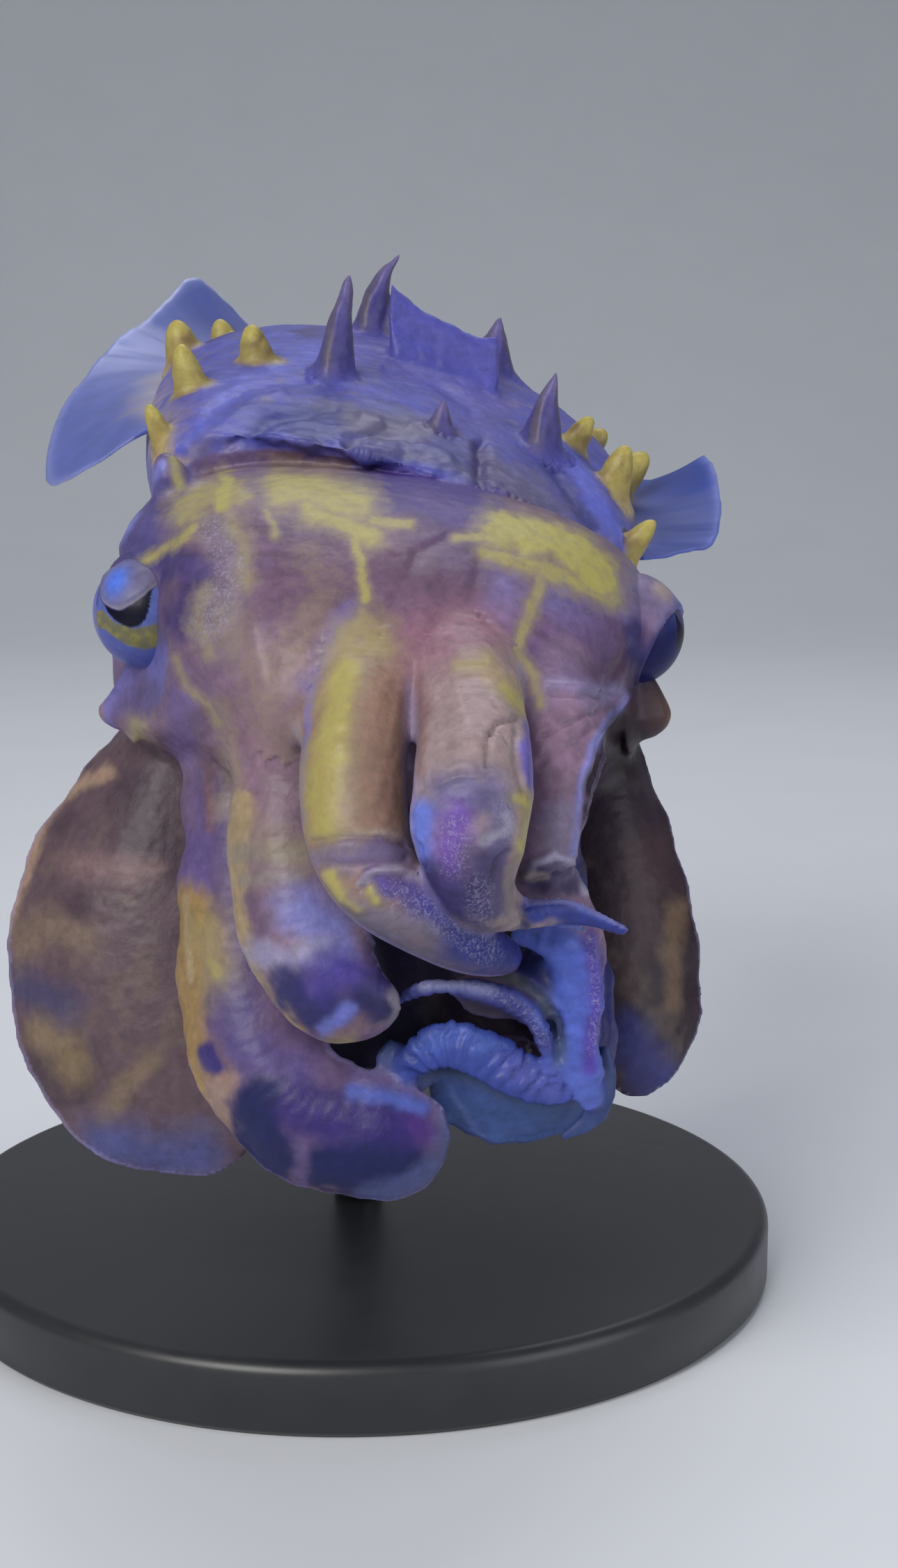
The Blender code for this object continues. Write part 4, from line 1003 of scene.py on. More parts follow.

# Washes of colour on the front of the skin, painted shade and painted highlights among them: the pieces each
# keeps to, colour, half width in pixels, how strong it is, how soft its edge, and the line of pixels that it
# follows.
WASHES = {
    # Painted shade: the crown under the mantle's rim and the neck beneath the collar are darkened purple.
    "crown painted shade": (HEAD, seen(54, 38, 110), 40, 0.92, 0.6, ((540, 696), (620, 714), (700, 744))),
    "crown rim painted shade": (HEAD, seen(56, 40, 112), 15, 0.9, 0.8,
                         ((440, 640), (520, 652), (610, 668), (700, 712))),
    "crown left purple": (HEAD, seen(92, 76, 122), 20, 0.6, 0.8, ((280, 660), (355, 655), (372, 700))),
    "brow purple": (HEAD, seen(78, 74, 130), 36, 0.85, 0.6, ((250, 690), (215, 740), (185, 790))),
    # Painted highlight: a pale blue line along the brow's left edge.
    "brow edge highlight": (HEAD, seen(116, 122, 190), 6, 0.8, 0.8, ((232, 662), (202, 720), (178, 768), (160, 795))),
    # Painted shade in the gap under the mantle's collar.
    "shade under the collar": (HEAD, BROWN, 10, 0.9, 0.5, ((362, 640), (400, 634), (428, 634))),
    "left middle maroon": (HEAD, seen(90, 66, 92), 44, 0.7, 0.9, ((425, 780), (440, 830), (460, 870))),
    "middle maroon": (HEAD, seen(98, 74, 98), 50, 0.7, 0.9, ((590, 800), (700, 830))),
    "middle dusk": (HEAD, seen(92, 74, 108), 24, 0.6, 0.9, ((600, 760), (650, 790), (720, 800))),
    "lilac by right strip": (HEAD, seen(128, 118, 172), 28, 0.7, 0.9, ((725, 845), (712, 900))),
    "lilac past right strip": (HEAD, seen(118, 112, 166), 22, 0.6, 0.9, ((800, 858), (835, 888))),
    "left pink": (HEAD, seen(138, 106, 124), 44, 0.75, 0.9, ((400, 960), (370, 1050), (380, 1110))),
    "left tan": (HEAD, seen(136, 112, 112), 30, 0.6, 0.9, ((470, 900), (420, 960))),
    "lilac crease": (FACE, seen(120, 108, 176), 12, 0.6, 0.9, ((505, 872), (470, 925), (445, 985))),
    "rose between": (FACE, ROSE, 44, 0.85, 0.9, ((580, 930), (640, 915), (690, 905))),
    "rose down the gap": (FACE, seen(138, 102, 112), 18, 0.7, 0.9, ((588, 950), (592, 1010))),
    "right cheek": (HEAD, seen(104, 80, 118), 44, 0.75, 0.9, ((790, 925), (850, 910))),
    "right cheek maroon": (FACE, MAROON, 20, 0.85, 0.9, ((862, 975), (905, 948))),
    "right dome": (HEAD, seen(118, 108, 146), 36, 0.85, 0.8, ((905, 850), (935, 835), (958, 858))),
    "right dome spot": (HEAD, seen(158, 142, 130), 12, 0.8, 0.7, ((946, 846), (962, 856))),
    "right dome rim": (HEAD, seen(98, 106, 184), 9, 0.8, 0.7, ((968, 830), (982, 866), (982, 900))),
    "right dome shade": (HEAD, seen(40, 40, 104), 18, 0.8, 0.8, ((912, 905), (925, 960), (935, 995))),
    # Painted highlights: the two sheen lines across the web at the right.
    "right web sheen": (FACE, seen(138, 130, 170), 11, 0.55, 0.95, ((795, 986), (850, 990), (885, 992))),
    "right web sheen low": (FACE, seen(134, 118, 154), 10, 0.5, 0.95,
                            ((780, 1012), (840, 1010), (870, 1006))),
    "right web pink": (FACE, seen(128, 98, 122), 30, 0.7, 0.9, ((800, 1040), (800, 1110))),
    # Painted shade beyond the web's edge, in the groove there.
    "past the web": (("arm_2_left", "arm_3_left", "head"), seen(48, 34, 52), 27, 0.97, 0.4,
                     ((925, 1030), (890, 1070), (872, 1116), (862, 1180), (866, 1240))),
    # Painted highlight along the ridge of the web's edge.
    "web edge": (FACE, seen(124, 124, 190), 6, 0.9, 0.6,
                 ((902, 1000), (866, 1046), (846, 1084), (834, 1130), (826, 1180), (822, 1225))),
    "right lobe": (HEAD, seen(66, 48, 50), 40, 0.95, 0.5, ((945, 1005), (966, 1030), (955, 1060))),
    "right lobe light": (HEAD, seen(108, 80, 62), 12, 0.7, 0.9, ((962, 1005), (970, 1035))),
    "behind the eye": (HEAD, seen(60, 52, 106), 28, 0.85, 0.8,
                       ((250, 800), (280, 816), (288, 850), (262, 892))),
    "speckle ground": (HEAD, seen(120, 106, 120), 28, 0.7, 0.9,
                       ((310, 765), (338, 815), (322, 870), (300, 915))),
    "below the eye": (HEAD, seen(92, 76, 104), 22, 0.7, 0.9, ((200, 985), (200, 1020))),
    # Painted highlight: a pale blue line down the face's left edge.
    "left edge highlight": (FACE, seen(108, 106, 176), 8, 0.8, 0.8,
                       ((155, 950), (152, 1000), (160, 1060), (158, 1112))),
    "left lump": (HEAD, seen(142, 112, 98), 15, 0.85, 0.6, ((134, 1002), (140, 1036))),
    "left column": (FACE, seen(96, 80, 132), 22, 0.75, 0.8,
                    ((262, 1010), (262, 1100), (268, 1200), (282, 1270))),
    "left column rust": (FACE, seen(124, 90, 80), 7, 0.55, 0.9, ((300, 1100), (302, 1190))),
    "column three pink": (RIGHT_3, seen(124, 98, 118), 26, 0.6, 0.9, ((262, 1080), (250, 1170))),
    "collar rough": (MANTLE, GREY_BLUE, 30, 0.8, 0.8, ((440, 612), (520, 605), (640, 640), (760, 695))),
    "collar olive": (MANTLE, seen(104, 100, 122), 17, 0.8, 0.8, ((470, 590), (540, 612), (610, 615))),
    "collar edge": (MANTLE, seen(88, 86, 122), 11, 0.8, 0.8,
                    ((500, 642), (560, 652), (620, 660), (690, 695))),
    "collar grey right": (MANTLE, seen(98, 92, 122), 22, 0.75, 0.9, ((700, 672), (760, 705), (800, 740))),
    # Painted shade on the collar above the gap.
    "collar shade": (MANTLE, seen(52, 60, 124), 18, 0.8, 0.9, ((372, 612), (430, 600), (475, 604))),
    # Painted highlight along the shoulder's ridge.
    "shoulder ridge highlight": (MANTLE, seen(92, 98, 188), 15, 0.7, 0.9,
                       ((265, 640), (320, 575), (390, 525), (450, 508))),
    "shoulder streak": (MANTLE, seen(98, 98, 172), 12, 0.6, 0.9, ((296, 655), (330, 615), (350, 606))),
    # Painted shade in the gap of the collar.
    "collar gap": (MANTLE, DEEP_PURPLE, 14, 0.85, 0.8, ((688, 648), (694, 706))),
    "right band": (MANTLE, seen(96, 106, 200), 16, 0.75, 0.8,
                   ((800, 632), (850, 700), (890, 770), (900, 820))),
    # Painted shade in the furrow beside the right band.
    "right band fold shade": (MANTLE, seen(60, 60, 118), 9, 0.8, 0.8, ((768, 640), (812, 700), (852, 762))),
    "middle mantle": (MANTLE, seen(94, 86, 156), 36, 0.6, 0.9, ((560, 500), (640, 520), (700, 590))),
    "mantle lilac": (MANTLE, seen(86, 82, 166), 40, 0.6, 0.9, ((500, 470), (560, 430), (600, 470))),
    "arm 1 right root": (RIGHT_1, seen(156, 136, 116), 30, 0.7, 0.9, ((520, 930), (505, 990))),
    "arm 1 right tan": (RIGHT_1, seen(140, 110, 96), 26, 0.75, 0.9, ((556, 980), (552, 1080), (545, 1180))),
    # Painted highlight: a pale blue line down the arm's left edge.
    "arm 1 right edge highlight": (RIGHT_1, seen(112, 106, 184), 5, 0.85, 0.7, ((450, 985), (438, 1060), (433, 1190))),
    "arm 1 right violet": (RIGHT_1, seen(102, 92, 132), 26, 0.85, 0.7, ((470, 1228), (575, 1225))),
    "arm 1 right crease": (RIGHT_1, seen(160, 144, 132), 5, 0.8, 0.7,
                           ((448, 1204), (500, 1193), (575, 1198))),
    "arm 1 right blue": (RIGHT_1, seen(46, 52, 130), 38, 0.95, 0.8, ((620, 1300), (700, 1345), (740, 1360))),
    "arm 1 right arc violet": (RIGHT_1, seen(74, 62, 138), 16, 0.85, 0.8,
                               ((540, 1264), (620, 1284), (668, 1316))),
    "arm 1 right ochre": (RIGHT_1, seen(144, 118, 64), 24, 0.75, 0.9, ((458, 1110), (454, 1190))),
    "arm 1 right belly": (RIGHT_1, seen(94, 88, 112), 24, 0.9, 0.9,
                          ((500, 1304), (546, 1342), (600, 1376), (680, 1394))),
    "arm 1 right belly high": (RIGHT_1, seen(112, 104, 122), 14, 0.85, 0.9,
                               ((524, 1300), (580, 1322), (640, 1350))),
    "arm 1 right low": (RIGHT_1, seen(32, 40, 112), 34, 0.95, 0.8, ((668, 1356), (712, 1370), (750, 1368))),
    # Painted highlight: a pale line along the arc's ridge.
    "arm 1 right arc": (RIGHT_1, seen(160, 152, 170), 4, 0.8, 0.9,
                        ((516, 1268), (540, 1251), (570, 1247), (606, 1262))),
    "arm 1 left root gold": (LEFT_1, seen(166, 144, 104), 16, 0.7, 0.8,
                             ((700, 960), (745, 992), (768, 1022))),
    "arm 1 left root pink": (LEFT_1, seen(154, 130, 134), 30, 0.6, 0.9, ((650, 990), (690, 1040))),
    "arm 1 left shade": (LEFT_1, seen(124, 96, 94), 12, 0.7, 0.9, ((612, 1010), (602, 1070), (598, 1110))),
    "arm 1 left violet edge": (LEFT_1, seen(98, 88, 168), 10, 0.9, 0.6,
                               ((762, 1030), (758, 1080), (768, 1135))),
    "arm 1 left grey": (LEFT_1, seen(96, 92, 138), 30, 0.8, 0.8, ((640, 1140), (700, 1130))),
    "arm 1 left blue": (LEFT_1, seen(90, 112, 200), 18, 0.9, 0.7, ((606, 1168), (604, 1210), (604, 1245))),
    "arm 1 left purple": (LEFT_1, seen(102, 68, 160), 26, 0.9, 0.7, ((652, 1170), (648, 1220), (640, 1266))),
    "arm 1 left dusk": (LEFT_1, seen(50, 44, 90), 30, 0.95, 0.8, ((700, 1232), (676, 1290), (640, 1300))),
    "arm 1 left knob": (LEFT_1, seen(158, 140, 100), 16, 0.9, 0.7, ((756, 1148), (764, 1182), (752, 1226))),
    "arm 1 left below the knob": (LEFT_1, seen(72, 64, 98), 18, 0.9, 0.8,
                                  ((712, 1244), (716, 1290), (704, 1318))),
    "arm 1 left middle": (LEFT_1, seen(94, 86, 126), 20, 0.85, 0.8, ((692, 1150), (720, 1166), (714, 1204))),
    # Painted highlight on the knob of arm 1 left.
    "arm 1 left pale highlight": (LEFT_1, seen(146, 142, 160), 7, 0.75, 0.9, ((726, 1172), (732, 1190), (690, 1208))),
    "arm 1 left beige": (LEFT_1, seen(124, 110, 108), 8, 0.8, 0.8, ((742, 1222), (730, 1256), (736, 1300))),
    "arm 1 left right shade": (LEFT_1, seen(54, 56, 104), 9, 0.85, 0.8,
                               ((764, 1236), (758, 1290), (754, 1330))),
    "arm 1 left curl": (LEFT_1, seen(130, 116, 114), 9, 0.85, 0.7, ((672, 1312), (706, 1328), (740, 1322))),
    "arm 1 left dusk low": (LEFT_1, seen(50, 44, 96), 24, 0.9, 0.8, ((612, 1258), (648, 1298), (684, 1310))),
    "arm 1 left tail": (LEFT_1, seen(38, 52, 132), 26, 0.97, 0.3, ((775, 1296), (830, 1312), (915, 1338))),
    "arm 1 left tail edge": (LEFT_1, seen(78, 94, 176), 5, 0.7, 0.7, ((760, 1284), (820, 1296), (880, 1322))),
    "arm 2 right margin": (RIGHT_2, seen(158, 138, 104), 17, 0.9, 0.6,
                           ((348, 1150), (338, 1220), (338, 1300), (348, 1375), (374, 1430), (410, 1474))),
    "arm 2 right bands": (RIGHT_2, seen(130, 122, 110), 17, 0.75, 0.9, ((345, 1230), (440, 1222))),
    "arm 2 right band low": (RIGHT_2, seen(128, 120, 114), 10, 0.7, 0.9, ((350, 1266), (430, 1256))),
    "arm 2 right mauve": (RIGHT_2, seen(98, 78, 104), 15, 0.8, 0.8, ((362, 1296), (376, 1340))),
    "arm 2 right lilac": (RIGHT_2, seen(120, 122, 186), 34, 0.9, 0.8,
                          ((430, 1300), (470, 1330), (480, 1362))),
    "arm 2 right pale": (RIGHT_2, seen(140, 136, 168), 20, 0.85, 0.8,
                         ((372, 1366), (420, 1382), (462, 1366))),
    "arm 2 right dark": (RIGHT_2, seen(36, 36, 94), 34, 0.97, 0.6, ((416, 1420), (446, 1450), (470, 1440))),
    "arm 2 right violet": (RIGHT_2, seen(60, 50, 132), 29, 0.9, 0.8, ((466, 1396), (512, 1396), (540, 1410))),
    "arm 2 right shade": (RIGHT_2, seen(44, 38, 84), 18, 0.85, 0.9, ((552, 1330), (548, 1400))),
    "arm 2 right navy": (RIGHT_2, seen(28, 28, 80), 24, 0.95, 0.7, ((524, 1436), (548, 1452))),
    "arm 2 right oval": (RIGHT_2, seen(106, 114, 194), 11, 0.85, 0.8,
                         ((466, 1478), (486, 1462), (500, 1448))),
    "arm 2 right gold": (RIGHT_2, seen(172, 150, 96), 13, 0.9, 0.7, ((398, 1470), (424, 1494))),
    "arm 2 right gold low": (RIGHT_2, seen(164, 148, 108), 14, 0.9, 0.7, ((466, 1508), (504, 1504))),
    "arm 2 right low blue": (RIGHT_2, seen(104, 100, 150), 12, 0.8, 0.8, ((434, 1498), (446, 1510))),
    "arm 2 right low mauve": (RIGHT_2, seen(120, 98, 124), 12, 0.8, 0.8, ((530, 1492), (560, 1482))),
    "arm 2 right tip": (RIGHT_2, seen(120, 114, 128), 12, 0.9, 0.6, ((566, 1432), (580, 1450), (572, 1472))),
    "arm 3 right margin": (RIGHT_3, seen(152, 124, 72), 24, 0.9, 0.7,
                           ((274, 1296), (264, 1390), (264, 1480), (276, 1560), (300, 1620))),
    "arm 3 right crest": (RIGHT_3, seen(170, 152, 122), 4, 0.7, 0.8, ((268, 1290), (270, 1350), (272, 1410))),
    "arm 3 right ochre": (RIGHT_3, seen(142, 126, 84), 28, 0.85, 0.9,
                          ((296, 1330), (306, 1390), (312, 1430))),
    "arm 3 right mauve": (RIGHT_3, seen(78, 68, 122), 34, 0.85, 0.9, ((336, 1450), (345, 1505), (420, 1540))),
    "arm 3 right gold": (RIGHT_3, seen(158, 128, 66), 14, 0.85, 0.8, ((282, 1556), (284, 1600))),
    "arm 3 right beige": (RIGHT_3, seen(150, 124, 112), 19, 0.9, 0.6,
                          ((318, 1556), (316, 1640), (340, 1692), (400, 1720), (470, 1728))),
    "arm 3 right dark": (RIGHT_3, NAVY, 36, 0.98, 0.4, ((376, 1580), (374, 1625), (396, 1664))),
    "arm 3 right dark low": (RIGHT_3, NAVY, 42, 0.98, 0.4, ((478, 1672), (530, 1680), (572, 1668))),
    "arm 3 right violet": (RIGHT_3, seen(42, 30, 100), 36, 0.95, 0.6,
                           ((430, 1590), (500, 1606), (590, 1612))),
    "arm 3 right magenta": (RIGHT_3, seen(70, 38, 112), 15, 0.7, 0.8, ((596, 1606), (610, 1628))),
    "arm 3 right bright": (RIGHT_3, seen(76, 98, 180), 12, 0.75, 0.9,
                           ((510, 1568), (560, 1572), (604, 1586))),
    "arm 3 right saddle": (RIGHT_3, seen(92, 78, 122), 9, 0.7, 0.9, ((432, 1640), (434, 1704))),
    "arm 3 right clear": (RIGHT_3, seen(70, 78, 124), 17, 0.9, 0.7,
                          ((632, 1556), (652, 1600), (640, 1660), (590, 1702), (530, 1722))),
    "arm 3 right rust": (RIGHT_3, seen(136, 108, 84), 18, 0.5, 0.9, ((296, 1512), (308, 1532))),
    "arm 3 right diamond": (RIGHT_3, seen(50, 40, 108), 12, 0.97, 0.5, ((296, 1508), (306, 1530))),
    # Painted shadow near the top of the right leaf.
    "right leaf shadow": (RIGHT_LEAF, DARK_LEAF, 40, 0.8, 0.9, ((205, 1140), (225, 1230))),
    "right leaf margin": (RIGHT_LEAF, seen(158, 132, 112), 11, 0.85, 0.8,
                          ((150, 1108), (110, 1125), (62, 1170), (38, 1250), (8, 1330))),
    "right leaf pink": (RIGHT_LEAF, seen(128, 102, 104), 22, 0.7, 0.9,
                        ((110, 1240), (170, 1250), (215, 1245))),
    "right leaf gold": (RIGHT_LEAF, seen(130, 112, 82), 26, 0.7, 0.9, ((60, 1480), (90, 1500), (110, 1540))),
    "right leaf gold low": (RIGHT_LEAF, seen(126, 108, 86), 16, 0.65, 0.9,
                            ((150, 1600), (190, 1560), (215, 1520))),
    "right leaf gold high": (RIGHT_LEAF, seen(126, 108, 90), 26, 0.6, 0.9,
                             ((30, 1350), (80, 1330), (120, 1350))),
    "right leaf blue": (RIGHT_LEAF, seen(58, 58, 98), 28, 0.7, 0.9, ((16, 1410), (60, 1425), (90, 1440))),
    "right leaf foot": (RIGHT_LEAF, seen(70, 78, 134), 34, 0.8, 0.9, ((150, 1640), (220, 1660), (290, 1660))),
    # Partly the left leaf's own dark reddish brown, partly painted shade.
    "left leaf shade": (LEFT_LEAF, DARK_LEAF, 46, 0.85, 0.9, ((910, 1060), (884, 1180), (910, 1290))),
    "left leaf brown": (LEFT_LEAF, seen(76, 54, 58), 34, 0.7, 0.9, ((930, 1230), (925, 1330))),
    "left leaf gold": (LEFT_LEAF, seen(116, 94, 74), 13, 0.8, 0.8, ((975, 1300), (966, 1370), (968, 1440))),
    "left leaf gold inner": (LEFT_LEAF, seen(84, 66, 66), 18, 0.6, 0.9, ((905, 1380), (915, 1430))),
    "left leaf foot": (LEFT_LEAF, seen(54, 58, 122), 32, 0.85, 0.9, ((905, 1490), (935, 1530), (955, 1570))),
    "arm 2 left root": (LEFT_2, seen(138, 110, 134), 24, 0.7, 0.9, ((815, 1025), (800, 1090))),
    "arm 2 left pale": (LEFT_2, seen(126, 116, 142), 22, 0.85, 0.8, ((800, 1170), (795, 1228))),
    "arm 2 left arch": (LEFT_2, seen(166, 158, 184), 6, 0.9, 0.6,
                        ((756, 1262), (766, 1240), (795, 1228), (825, 1240), (838, 1280))),
    # Painted shade in the hollow at the end of arm 2 left's root.
    "arm 2 left hollow": (LEFT_2, seen(64, 54, 92), 22, 0.92, 0.6, ((775, 1266), (812, 1262))),
    "arm 2 left bar": (LEFT_2, seen(146, 132, 134), 6, 0.9, 0.6, ((752, 1258), (784, 1258))),
    "lip pale blue": (LIP, seen(78, 96, 184), 36, 0.9, 0.8,
                      ((780, 1348), (815, 1385), (812, 1440), (812, 1500))),
    "lip pale folds": (LIP, seen(106, 118, 198), 8, 0.6, 0.8, ((760, 1342), (800, 1340), (836, 1352))),
    "lip groove": (LIP, seen(72, 84, 100), 9, 0.9, 0.7,
                   ((700, 1396), (745, 1408), (782, 1436), (800, 1474), (806, 1520))),
    "lip green": (LIP, seen(104, 112, 96), 5, 0.8, 0.8, ((722, 1400), (760, 1414), (792, 1450))),
    "lip bumps": (("lip_inner",), seen(134, 138, 180), 8, 0.8, 0.6, ((606, 1416), (650, 1412), (706, 1422))),
    "lip inner mottle": (("lip_inner",), seen(50, 52, 116), 9, 0.8, 0.7,
                         ((712, 1436), (756, 1458), (784, 1502))),
    # Painted shade under the inner lip.
    "shade under the lip": (("arm_2_left", "arm_web"), seen(44, 32, 52), 30, 0.98, 0.4,
                  ((640, 1448), (700, 1446), (752, 1466), (776, 1530))),
    "violet ridge": (LIP, seen(76, 56, 150), 10, 0.9, 0.7,
                     ((846, 1346), (856, 1400), (856, 1450), (848, 1500), (852, 1540))),
    "navy rim": (LEFT_3, seen(38, 38, 100), 13, 0.95, 0.6,
                 ((868, 1350), (878, 1400), (880, 1450), (874, 1510), (866, 1545))),
    "lip fingers": (("lip_lower",), seen(72, 92, 170), 15, 0.85, 0.8,
                    ((606, 1500), (660, 1480), (700, 1500))),
    "lip fingers right": (("lip_lower",), seen(78, 82, 154), 18, 0.8, 0.8, ((740, 1535), (790, 1560))),
    "under the fingers": (LEFT_3, seen(58, 74, 104), 12, 0.95, 0.6,
                          ((606, 1548), (650, 1532), (690, 1552), (736, 1582), (796, 1592))),
    "clear hem": (LEFT_3, SEA, 40, 0.92, 0.7, ((640, 1580), (700, 1615), (780, 1628), (840, 1600))),
    "clear hem edge": (LEFT_3, seen(96, 110, 170), 4, 0.5, 0.9,
                       ((604, 1540), (640, 1552), (664, 1590), (690, 1632))),
    "hem spots": (LEFT_3, seen(40, 58, 92), 7, 0.85, 0.7, ((820, 1636), (846, 1612), (866, 1590))),
    "bridge": (("lip_bridge",), seen(70, 80, 128), 22, 0.8, 0.8, ((575, 1505), (610, 1535))),
}

# Painted shade in hollows, kept whichever way they face: pieces, colour, half width and line.
HOLLOW_SHADE = {
    "crown": (("head",), seen(68, 52, 122), 14, ((556, 676), (610, 690), (660, 706), (704, 724))),
    "crown low": (("head",), seen(74, 56, 120), 10, ((600, 716), (650, 734), (690, 752))),
    "under the inner lip": (("arm_", "head", "funnel"), seen(34, 24, 42), 20,
                            ((640, 1462), (704, 1462), (746, 1476), (776, 1520))),
    "behind the arm tail": (("arm_2_left",), seen(46, 52, 104), 16, ((744, 1372), (766, 1384), (780, 1404))),
    "lobe pit": (("head", "arm_"), seen(40, 28, 36), 20, ((898, 1052), (906, 1090))),
}

# Yellow pigment on the front: pieces, half width in pixels, how dense it is, and the line it follows.
PIGMENT = {
    "brow papilla": (HEAD, 8, 0.85, ((246, 656), (252, 680), (262, 704))),
    "left crown": (HEAD, 24, 0.82, ((262, 738), (296, 714), (340, 706))),
    "left crown bright": (HEAD, 15, 0.95, ((326, 690), (322, 728))),
    "eye strip": (HEAD, 8, 0.85, ((276, 758), (240, 784), (204, 808))),
    "middle crown": (HEAD, 30, 0.9, ((402, 704), (460, 706), (512, 724))),
    "middle crown low": (HEAD, 17, 0.9, ((440, 735), (500, 758), (536, 768))),
    "middle crown right": (HEAD, 9, 0.85, ((535, 745), (590, 754))),
    "middle crown drip": (HEAD, 7, 0.75, ((384, 735), (396, 768))),
    "middle strip": (FACE, 9, 0.9, ((512, 775), (518, 812), (526, 862))),
    "middle strip foot": (FACE, 14, 0.72, ((520, 880), (540, 930), (500, 935))),
    "right tail": (HEAD, 7, 0.85, ((655, 770), (705, 768))),
    "right band": (HEAD, 27, 0.95, ((716, 758), (770, 774), (825, 798), (866, 836))),
    "right band top": (HEAD, 15, 0.95, ((722, 742), (775, 756), (830, 782), (874, 816))),
    "right band edge": (HEAD, 15, 0.85, ((700, 790), (760, 808), (830, 840), (880, 862))),
    "right strip": (HEAD, 12, 0.8, ((782, 828), (770, 858), (750, 905), (738, 936))),
    "right strip foot": (FACE, 9, 0.75, ((745, 940), (770, 975), (775, 1010))),
    "speckle upper": (HEAD, 14, 0.66, ((330, 740), (352, 780), (352, 840))),
    "speckle lower": (HEAD, 15, 0.62, ((298, 850), (280, 900), (300, 935))),
    "cheek drip": (HEAD, 7, 0.68, ((252, 945), (268, 985), (300, 1010), (315, 1040))),
    "cheek drip low": (FACE, 8, 0.6, ((330, 1060), (345, 1120))),
    "left lump": (HEAD, 15, 0.72, ((196, 1040), (208, 1090))),
    "arm 1 right upper": (RIGHT_1, 31, 0.9, ((496, 962), (482, 1020), (474, 1090))),
    "arm 1 right mid": (RIGHT_1, 37, 0.85, ((472, 1080), (466, 1130), (466, 1180))),
    "arm 1 right root": (FACE, 24, 0.72, ((476, 950), (500, 915), (526, 890), (552, 930))),
    "arm 1 right bump": (RIGHT_1, 13, 0.9, ((474, 1258), (490, 1282))),
    "arm 1 right bump low": (RIGHT_1, 10, 0.8, ((500, 1292), (512, 1304))),
    "arm 1 right bump high": (RIGHT_1, 10, 0.9, ((534, 1276), (542, 1290))),
    "arm 1 left crown": (FACE, 14, 0.72, ((664, 956), (700, 948))),
    "cheek scatter": (HEAD, 34, 0.5, ((330, 900), (370, 960), (400, 1040), (410, 1090))),
    "cheek scatter high": (HEAD, 26, 0.46, ((440, 880), (410, 940))),
    "face scatter": (HEAD, 26, 0.4, ((440, 800), (470, 850))),
    "column scatter": (FACE, 14, 0.55, ((320, 1020), (330, 1100), (320, 1170))),
    "arm 2 right scatter": (RIGHT_2, 22, 0.5, ((360, 1190), (420, 1220))),
    "arm 3 right patch": (RIGHT_3, 18, 0.6, ((296, 1340), (304, 1400))),
    "arm 1 left crest": (LEFT_1, 15, 0.85, ((722, 990), (752, 1010), (770, 1030))),
    "arm 1 left knob": (LEFT_1, 11, 0.85, ((744, 1144), (768, 1160), (764, 1190), (750, 1212))),
    "arm 3 right spot": (RIGHT_3, 11, 0.75, ((300, 1380), (312, 1400))),
}

